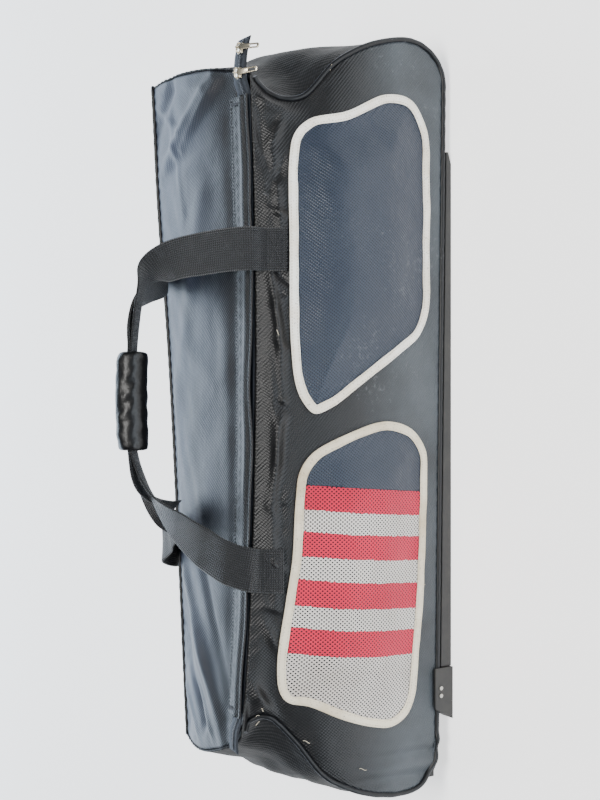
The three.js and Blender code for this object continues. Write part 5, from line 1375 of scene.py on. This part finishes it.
def strap_frames(rows, side):
    knots, widths = [], []
    for along, on_wall, up_, off, turn, broad in rows:
        x = along * bagLength
        if on_wall:
            knots.append(skin(side, x, up_ * sideHeight, lay * 0.4 + webbingThickness * (0.5 + off)))
        else:
            knots.append([x, off * baseDepth / 2, up_ * sideHeight])
        w = np.array([1.0, 0, 0]) * (1 - turn) + STRAP_CROSS * turn
        widths.append(w / np.linalg.norm(w))
    path = through(knots, False, 12)
    at = np.minimum(np.arange(len(path)) / 12, len(rows) - 1)
    t = np.gradient(path, axis=0)
    t /= np.linalg.norm(t, axis=1, keepdims=True)
    w = np.stack([np.interp(at, np.arange(len(rows)), np.array(widths)[:, k]) for k in range(3)], -1)
    w -= t * np.sum(w * t, axis=1, keepdims=True)
    w /= np.linalg.norm(w, axis=1, keepdims=True)
    broad = np.interp(at, np.arange(len(rows)), [row[5] for row in rows]) * webbingWidth / 2
    return path, w, np.cross(t, w), broad


strap_runs = {"front": strap_frames(FRONT_STRAP, "front"), "back": strap_frames(BACK_STRAP, "back")}
print({side: len(run[0]) for side, run in strap_runs.items()}, "places")

# %% Straps and their stitched boxes
across_strap = np.array([-1, -0.96, -0.8, -0.6, -0.4, -0.2, 0, 0.2, 0.4, 0.6, 0.8, 0.96, 1])
for side, (path, w, b, broad) in strap_runs.items():
    free = smooth(np.arange(len(path)), 30, 60) * smooth(len(path) - np.arange(len(path)), 30, 60)
    curl = free * (0.8 + 5 * (1 - broad / broad.max()))
    s = across_strap[None] * broad[:, None]
    rise_ = curl[:, None] * (across_strap[None] ** 2 - 0.4)
    thick = webbingThickness / 2 * np.array([0.5] + [1] * 11 + [0.5])
    upper, lower = np.stack([s, rise_ + thick], -1), np.stack([s, rise_ - thick], -1)[:, ::-1]
    strap = swept(f"{side}_strap_webbing", path, w, b, np.concatenate([upper, lower], 1), webbing)
    uv = strap.data.uv_layers["UVMap"]
    loops = np.empty(len(strap.data.loops), dtype=np.int32)
    strap.data.loops.foreach_get("vertex_index", loops)
    run = np.concatenate([[0], np.cumsum(np.linalg.norm(np.diff(path, axis=0), axis=1))])
    true_across = np.concatenate([across_strap, across_strap[::-1]]) * webbingWidth / 2
    both = np.stack(np.broadcast_arrays(true_across[None] / 1000, run[:, None] / 1000), -1).reshape(-1, 2)
    uv.data.foreach_set("uv", both[loops].astype(np.float32).ravel())
    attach(strap, "bag")
    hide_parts(f"{side}_webbing")
    rows, ups = [], []
    for first, last in ((0, 1), (-1, -2)):
        here = (path, w, b) if first == 0 else (path[::-1], w[::-1], b[::-1])
        length = np.concatenate([[0], np.cumsum(np.linalg.norm(np.diff(here[0], axis=0), axis=1))])
        for corners in ([(-21, 4), (21, 4), (21, 22), (-21, 22), (-21, 4)], [(-21, 4), (21, 22)],
                        [(21, 4), (-21, 22)]):
            line = resample(np.array(corners, float), 2.0)
            place, wide_, out_ = (np.stack([np.interp(line[:, 1], length, part[:, k]) for k in range(3)],
                                           -1) for part in here)
            sign = np.sign(np.sum(out_ * wall_normal(side, place[:1, 0], np.array([sideHeight * 0.88])),
                                  axis=1, keepdims=True))
            rows.append(place + wide_ * line[:, :1] + out_ * sign * (webbingThickness / 2 + 0.15))
            ups.append(out_ * sign)
    seam_row(f"{side}_strap_stitches", rows, ups, dark_thread, 3.4, 2.8, 0.5)
print("straps sewn")

# %% [markdown]
# ## Lint and loose ends
# A few bare threads stick out where the binding ends and where the end seams have frayed, and a pale lint
# hair lies on the lower front. Each row is the middle of one thread on the front wall, its length and its
# slant.

# %% Loose threads
LOOSE = [  # x, rise, length, slant in degrees, how far it stands off
    (-203, 29, 9, -60, 5), (-409, 104, 9, 84, 1.0), (-332, 219, 8, 40, 4), (-341, 219, 7, 75, 4),
    (-351, 218, 6, -30, 4), (-372, 168, 7, 60, 4), (95, 218, 6, 30, 3), (402, 150, 6, -20, 2)]
hairs = []
for x0, rise0, length, slant, stand in LOOSE:
    t = np.linspace(-0.5, 0.5, 9)
    along = np.cos(math.radians(slant)) * length * t + 0.12 * length * np.sin(5 * t)
    up_wall = np.sin(math.radians(slant)) * length * t
    hairs.append(skin("front", x0 + along, rise0 + up_wall, 1.2 + stand * (t + 0.5) ** 2))
grow("loose_threads", cords, hairs, [(0, -1, 0)] * len(hairs),
     {"Radius": 0.0003, "Sides": 5, "Step": 0.001, "Material": cream_thread})
print("loose threads:", len(hairs))

# %% [markdown]
# ## Padded wrap
# A foam-filled pad closes round both straps. Foam pushes its cover out evenly, which a cloth simulation
# under pressure gives at once: the smooth tube is remeshed, inflated for twenty frames with gravity off,
# and kept from moving more than a few millimetres.

# %% Wrap form
front_run, back_run = strap_runs["front"][0], strap_runs["back"][0]


def strap_middle(x):
    """The middle between both straps at a place along the bag."""
    out = 0
    for run in (front_run, back_run):
        inner = run[60:-60][::-1]
        out = out + np.stack([np.interp(x, inner[:, 0], inner[:, k]) for k in range(3)], -1)
    return out / 2


WRAP_UP = np.array([0, 0.6, 0.8])
wrap_centre = 0.02 * bagLength
at = np.linspace(0, 1, 60)
x = wrap_centre + (at - 0.5) * wrapLength
grow_at = np.interp(at, [0, 0.03, 0.15, 0.35, 0.55, 0.75, 0.9, 0.97, 1],
                    [0.86, 0.97, 1, 0.985, 1, 0.985, 1, 0.97, 0.86])
angle = np.arange(48) / 48 * 2 * np.pi


def wrap_place(x, angle, size, lift=0.0):
    cosine, sine = np.cos(angle), np.sin(angle)
    round_ = np.sign(cosine) * np.abs(cosine) ** 0.85, np.sign(sine) * np.abs(sine) ** 0.85
    s, t = (wrapDepth / 2 * size + lift) * round_[0], (wrapThickness / 2 * size + lift) * round_[1]
    return strap_middle(x) + s[..., None] * STRAP_CROSS + t[..., None] * WRAP_UP


rumple = np.sin(2 * np.pi * x[:, None] / 21 + 2.2 * np.sin(2 * angle[None]))
rumple *= 0.55 + 0.45 * np.sin(3 * angle[None] + x[:, None] / 17)
rings = wrap_place(x[:, None] + np.zeros(48), angle[None], (grow_at * 0.95)[:, None],
                   rumple * np.minimum(grow_at, 1)[:, None] ** 4)
uv = np.stack(np.broadcast_arrays(x[:, None] / 1000, angle[None] * 0.02), -1)
wrap = sheet_of_sections("handle_wrap_pad", rings, uv, wrap_cloth)
print("wrap form:", len(wrap.data.vertices), "points")

# %% Inflate the wrap


def inflate(piece, voxel, pressure, most, frames=20):
    """Swell a closed form as stuffed cloth, no point moving more than most millimetres."""
    remesh = piece.modifiers.new("even", "REMESH")
    remesh.mode, remesh.voxel_size = "VOXEL", voxel
    graph = bpy.context.evaluated_depsgraph_get()
    even = bpy.data.meshes.new_from_object(piece.evaluated_get(graph), depsgraph=graph)
    piece.modifiers.remove(remesh)
    rest = np.empty(len(even.vertices) * 3, dtype=np.float32)
    even.vertices.foreach_get("co", rest)
    soft = bpy.data.objects.new("soft", even)
    bpy.context.scene.collection.objects.link(soft)
    sim = soft.modifiers.new("cloth", "CLOTH")
    sim.settings.use_pressure, sim.settings.uniform_pressure_force = True, pressure
    sim.settings.effector_weights.gravity = 0
    sim.settings.quality = 6
    sim.settings.tension_stiffness = sim.settings.compression_stiffness = 20
    sim.point_cache.frame_start, sim.point_cache.frame_end = 1, frames
    for frame_number in range(1, frames + 1):
        bpy.context.scene.frame_set(frame_number)
    graph = bpy.context.evaluated_depsgraph_get()
    moved = bpy.data.meshes.new_from_object(soft.evaluated_get(graph), depsgraph=graph)
    now = np.empty_like(rest)
    moved.vertices.foreach_get("co", now)
    step = (now - rest).reshape(-1, 3) * 1000
    far = np.linalg.norm(step, axis=1, keepdims=True)
    step *= np.minimum(1, most / np.maximum(far, 1e-6))
    even.vertices.foreach_set("co", (rest.reshape(-1, 3) + step / 1000).astype(np.float32).ravel())
    soft.modifiers.remove(sim)
    bpy.context.scene.frame_set(1)
    print("cloth moved", round(float(np.minimum(far, most).mean()), 2), "mm on average")
    round_ = soft.modifiers.new("round", "SUBSURF")
    round_.levels = round_.render_levels = 1
    graph = bpy.context.evaluated_depsgraph_get()
    final = bpy.data.meshes.new_from_object(soft.evaluated_get(graph), depsgraph=graph)
    bpy.data.objects.remove(soft)
    final.materials.clear()
    final.materials.append(piece.data.materials[0])
    final.polygons.foreach_set("use_smooth", np.ones(len(final.polygons), dtype=bool))
    piece.data = final
    return piece


inflate(wrap, 0.004, 4.0, 3.0)
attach(wrap, "bag")
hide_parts("handle_wrap")
print("wrap:", len(wrap.data.polygons), "faces")

# %% [markdown]
# ## Running gear
# Mouldings have no sharp edges. Each solid here has the right shape already, so a copy of its mesh is
# merged, its flat faces are joined, and a small bevel rounds every edge as a mould does. The wheels are
# turned from a profile instead, with a tread and a spoked hub.

# %% Mouldings


def moulding(node, name, finish, bevel, segments=2, body="bag"):
    """A copy of a solid with rounded edges."""
    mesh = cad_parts[node].data.copy()
    work = bmesh.new()
    work.from_mesh(mesh)
    bmesh.ops.remove_doubles(work, verts=work.verts, dist=1e-6)
    bmesh.ops.dissolve_limit(work, angle_limit=math.radians(1), verts=work.verts, edges=work.edges)
    work.to_mesh(mesh)
    work.free()
    mesh.materials.clear()
    mesh.materials.append(finish)
    piece = bpy.data.objects.new(name, mesh)
    bpy.context.scene.collection.objects.link(piece)
    edge = piece.modifiers.new("rounded edges", "BEVEL")
    edge.width, edge.segments = bevel / 1000, segments
    edge.limit_method, edge.angle_limit = "ANGLE", math.radians(28)
    mesh.polygons.foreach_set("use_smooth", np.ones(len(mesh.polygons), dtype=bool))
    normals = piece.modifiers.new("normals", "WEIGHTED_NORMAL")
    normals.keep_sharp = True
    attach(piece, body)
    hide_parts(node)
    return piece


for side in ("front", "back"):
    moulding(f"{side}_runner", f"{side}_runner_moulding", moulded, 0.9)
    moulding(f"{side}_foot", f"{side}_foot_moulding", moulded, 1.0)
    moulding(f"{side}_wheel_housing", f"{side}_wheel_arch", housing_plastic, 0.8)
    moulding(f"{side}_axle", f"{side}_axle_pin", steel, 0.5)
    for which in ("near", "rear"):
        moulding(f"{side}_rivet_{which}", f"{side}_rivet_head_{which}", steel, 0.45, 3)
print("mouldings made")

# %% Wheels
wheel_x, wheel_y = -bagLength / 2 + wheelSetback, baseDepth / 2 - wheelInset - wheelWidth / 2
TYRE = [
    (23, -10.6), (26.5, -11), (28.6, -10.2), (29.7, -8.2), (30, -5), (29.6, -4.2), (29.6, -3.4),
    (30, -2.6), (30, 2.6), (29.6, 3.4), (29.6, 4.2), (30, 5), (29.7, 8.2), (28.6, 10.2), (26.5, 11),
    (23, 10.6), (22.4, 6), (22.4, -6)]
HUB = [
    (3.4, -9.5), (7.5, -9.5), (8.2, -8.8), (8.6, -3), (20, -2.4), (20.8, -9), (22.2, -9.4), (22.2, 9.4),
    (20.8, 9), (20, 2.4), (8.6, 3), (8.2, 8.8), (7.5, 9.5), (3.4, 9.5)]


def turned(profile, steps, centre):
    profile = np.array(profile, float)
    a = np.arange(steps) / steps * 2 * np.pi
    x = centre[0] + profile[None, :, 0] * np.cos(a)[:, None]
    z = centre[2] + profile[None, :, 0] * np.sin(a)[:, None]
    y = centre[1] + profile[None, :, 1] + np.zeros((steps, 1))
    rings = np.stack([x, y, z], -1)
    count = len(profile)
    faces = [[v % (steps * count) for v in f] for f in grid_faces(steps + 1, count, 0, False, True)]
    return rings.reshape(-1, 3), faces


for side, sign in (("front", -1), ("back", 1)):
    centre = (wheel_x, sign * wheel_y, wheelRadius)
    tyre = make_piece(f"{side}_tyre", *turned(TYRE, 72, centre), material=rubber)
    hub = make_piece(f"{side}_hub", *turned(HUB, 72, centre), material=housing_plastic)
    for piece in (tyre, hub):
        point_outwards(piece.data)
    ribs = []
    for k in range(6):
        a = k * math.pi / 3
        across_, out_ = np.array([-math.sin(a), 0, math.cos(a)]), np.array([math.cos(a), 0, math.sin(a)])
        ribs.append(swept(f"{side}_spoke_{k}", [np.array(centre) + out_ * r for r in (8.0, 14.0, 20.6)],
                          [across_] * 3, [(0, 1, 0)] * 3,
                          [(-1.1, -8), (1.1, -8), (1.1, 8), (-1.1, 8)], housing_plastic))
    with bpy.context.temp_override(active_object=hub, selected_editable_objects=[hub] + ribs, object=hub):
        bpy.ops.object.join()
    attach(tyre, f"{side}_wheel")
    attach(hub, f"{side}_wheel")
    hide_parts(f"{side}_wheel")
print("wheels turned")

# %% [markdown]
# ## Sliders and pull tabs
# A slider is a die-cast plate with side walls and a bow over it; its tab hangs on the bow by an eye. They
# are small but catch the light at the bag's corner, so they have rounded edges, a real eye and a slot in
# each tab.

# %% Slider and tab makers
sliderLength, sliderPlate, sliderRoom, bailRise, bailRadius = 13, 1.6, 0.5, 3.6, 0.9
eyeRadius, eyeWire = 1.85, 0.6
backSliderSeat = 1.168  # the faceted wall of the solid lies a little inside the curve here
tabLength, tabWidth, tabThickness, tabDroop, backTabDroop = 30, 7, 1.3, 22, 8


def plate(name, outer, thickness, origin, a, b, finish, inner=None, bevel=0.35):
    """A flat plate from an outline in millimetres, with an optional hole of as many points."""
    outer = np.array(outer, float)
    n = np.cross(a, b)
    loops = [outer] if inner is None else [outer, np.array(inner, float)]
    points = [np.array(origin) + loop[:, :1] * a + loop[:, 1:] * b + n * t
              for t in (thickness / 2, -thickness / 2) for loop in loops]
    count, faces = len(outer), []
    ring = lambda k, i: k * count + i % count
    for i in range(count):
        if inner is None:
            faces.append((ring(0, i), ring(1, i), ring(1, i + 1), ring(0, i + 1)))
        else:
            faces += [(ring(0, i), ring(0, i + 1), ring(1, i + 1), ring(1, i)),
                      (ring(2, i), ring(3, i), ring(3, i + 1), ring(2, i + 1)),
                      (ring(0, i), ring(2, i), ring(2, i + 1), ring(0, i + 1)),
                      (ring(1, i), ring(1, i + 1), ring(3, i + 1), ring(3, i))]
    if inner is None:
        faces += [tuple(range(count)), tuple(range(2 * count - 1, count - 1, -1))]
    piece = make_piece(name, np.concatenate(points), faces, material=finish)
    work = bmesh.new()
    work.from_mesh(piece.data)
    bmesh.ops.recalc_face_normals(work, faces=work.faces)
    work.to_mesh(piece.data)
    work.free()
    point_outwards(piece.data)
    edge = piece.modifiers.new("rounded edges", "BEVEL")
    edge.width, edge.segments = bevel / 1000, 2
    edge.limit_method, edge.angle_limit = "ANGLE", math.radians(40)
    return piece


def rounded(length, width, radius, count=32, taper=1.0):
    """A rounded oblong outline, narrower by taper at its far end."""
    a = (np.arange(count) + 0.5) / count * 2 * np.pi
    c, s = np.cos(a), np.sin(a)
    x = np.sign(c) * (length / 2 - radius) + radius * c
    y = np.sign(s) * (width / 2 - radius) + radius * s
    return np.stack([x, y * np.interp(x, [-length / 2, length / 2], [1, taper])], -1)


def ring_path(name, path, radius, finish, closed=False, sides=12):
    path = np.array(path, float)
    t = np.roll(path, -1, 0) - np.roll(path, 1, 0) if closed else np.gradient(path, axis=0)
    t /= np.linalg.norm(t, axis=1, keepdims=True)
    lead = np.linalg.svd(path - path.mean(0))[2][2]
    b = lead - t * (t @ lead)[:, None]
    b /= np.linalg.norm(b, axis=1, keepdims=True)
    a = np.arange(sides) / sides * 2 * np.pi
    return swept(name, path, np.cross(b, t), b, radius * np.stack([np.cos(a), np.sin(a)], -1), finish,
                 closed=closed)


def join(name, parts):
    for part in parts:
        graph = bpy.context.evaluated_depsgraph_get()
        part.data = bpy.data.meshes.new_from_object(part.evaluated_get(graph), depsgraph=graph)
        part.modifiers.clear()
    with bpy.context.temp_override(active_object=parts[0], selected_editable_objects=parts,
                                   object=parts[0]):
        bpy.ops.object.join()
    parts[0].name = name
    return parts[0]


def slider(name, node, tab_name, tab_node, tab_body, origin, ax, ay, az, droop):
    ax, ay, az = (np.array(v, float) / np.linalg.norm(v) for v in (ax, ay, az))
    top = teethHeight + sliderRoom + sliderPlate
    bar = top + bailRise
    at = lambda u, v, w: np.array(origin) + ax * u + ay * v + az * w
    wide = teethWidth + 2 * (sliderRoom + sliderPlate)
    shield = np.array([(-6.4, -2.6), (-5.2, -4.0), (-2.0, -4.5), (2.5, -4.4), (5.6, -3.4), (6.5, -1.6),
                       (6.5, 1.6), (5.6, 3.4), (2.5, 4.4), (-2.0, 4.5), (-5.2, 4.0), (-6.4, 2.6)])
    parts = [plate(name + "_plate", shield, sliderPlate, at(0, 0, top - sliderPlate / 2), ax, ay,
                   plated_zinc)]
    for s in (-1, 1):
        parts.append(plate(f"{name}_rail_{s}", rounded(sliderLength - 1, 1.5, 0.5, 16), 1.7,
                           at(0, s * (wide - sliderPlate) / 2, sliderRoom + 0.7), ax, ay, plated_zinc))
    arch = [at(-5.4, 0, top - 0.6), at(-5.5, 0, top + 1.4), at(-5.0, 0, bar - 0.6), at(-4.2, 0, bar),
            at(0, 0, bar + 0.05), at(4.2, 0, bar), at(5.0, 0, bar - 0.6), at(5.5, 0, top + 1.4),
            at(5.4, 0, top - 0.6)]
    parts.append(ring_path(name + "_bow", through(arch, False, 4), bailRadius, plated_zinc))
    body = join(name, parts)
    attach(body, "bag")
    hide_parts(node)
    angle = math.radians(droop)
    down = ay * math.cos(angle) + np.cross(ax, ay) * math.sin(angle)
    flat = np.cross(ax, down)
    pivot = at(0, 0, bar)
    a = np.arange(20) / 20 * 2 * np.pi
    eye = [pivot + eyeRadius * (down * math.cos(k) + flat * math.sin(k)) for k in a]
    blade = rounded(tabLength - 1.4, tabWidth - 0.4, 2.2, 32, 0.86)
    slot_ = rounded(tabLength * 0.34, tabWidth * 0.4, 1.1, 32)
    slot_[:, 0] += tabLength * 0.22
    mid = pivot + down * (1.9 + tabLength / 2)
    tab = [ring_path(tab_name + "_eye", eye, eyeWire, plated_zinc, True),
           plate(tab_name + "_blade", blade, tabThickness, mid, down, ax, plated_zinc, slot_, 0.3)]
    tab_piece = join(tab_name, tab)
    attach(tab_piece, tab_body)
    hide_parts(tab_node)
    return pivot


# %% Place the sliders
for word, x in (("outer", zip_to - 14), ("inner", zip_to - 42)):
    along = (zip_place(x + 5, 0.5, 0) - zip_place(x - 5, 0.5, 0))
    along /= np.linalg.norm(along)
    across_zip = zip_place(x, 0, 0) - zip_place(x, 1, 0)
    across_zip -= along * (across_zip @ along)
    across_zip /= np.linalg.norm(across_zip)
    pivot = slider(f"zip_slider_{word}_cast", f"zip_slider_{word}", f"pull_tab_{word}_cast",
                   f"pull_tab_{word}", f"{word}_tab",
                   zip_place(x, 0.5, 0), -along, across_zip, np.cross(-along, across_zip), -tabDroop)
x = back_from + backZipLength - 18
rise = wall_top - backZipWidth / 2
out = wall_normal("back", x, rise)
along = np.array([1.0, 0, 0]) - out * out[0]
along /= np.linalg.norm(along)
pivot = slider("back_zip_slider_cast", "back_zip_slider", "back_pull_tab_cast", "back_pull_tab", "back_tab",
               wall("back", x, rise) + out * (backSliderSeat + 3.5 * gap + lay), along,
               np.cross(out, along), out, -backTabDroop)
print("back pivot", frame_points([pivot])[0].round(5), "sliders placed")

# %% [markdown]
# ## Floor
# A plain pale floor catches a soft shadow.

# %% Floor
paint, tree, shader = material("matt_paper_backdrop", Roughness=0.9)
shader.inputs["Base Color"].default_value = linear("#f2f2f2")
shader.inputs["Emission Color"].default_value = linear("#ffffff")
shader.inputs["Emission Strength"].default_value = 1.3
floor = make_piece("floor", [(-6000, -6000, 0), (6000, -6000, 0), (6000, 6000, 0), (-6000, 6000, 0)],
                   [(0, 1, 2, 3)], material=paint)
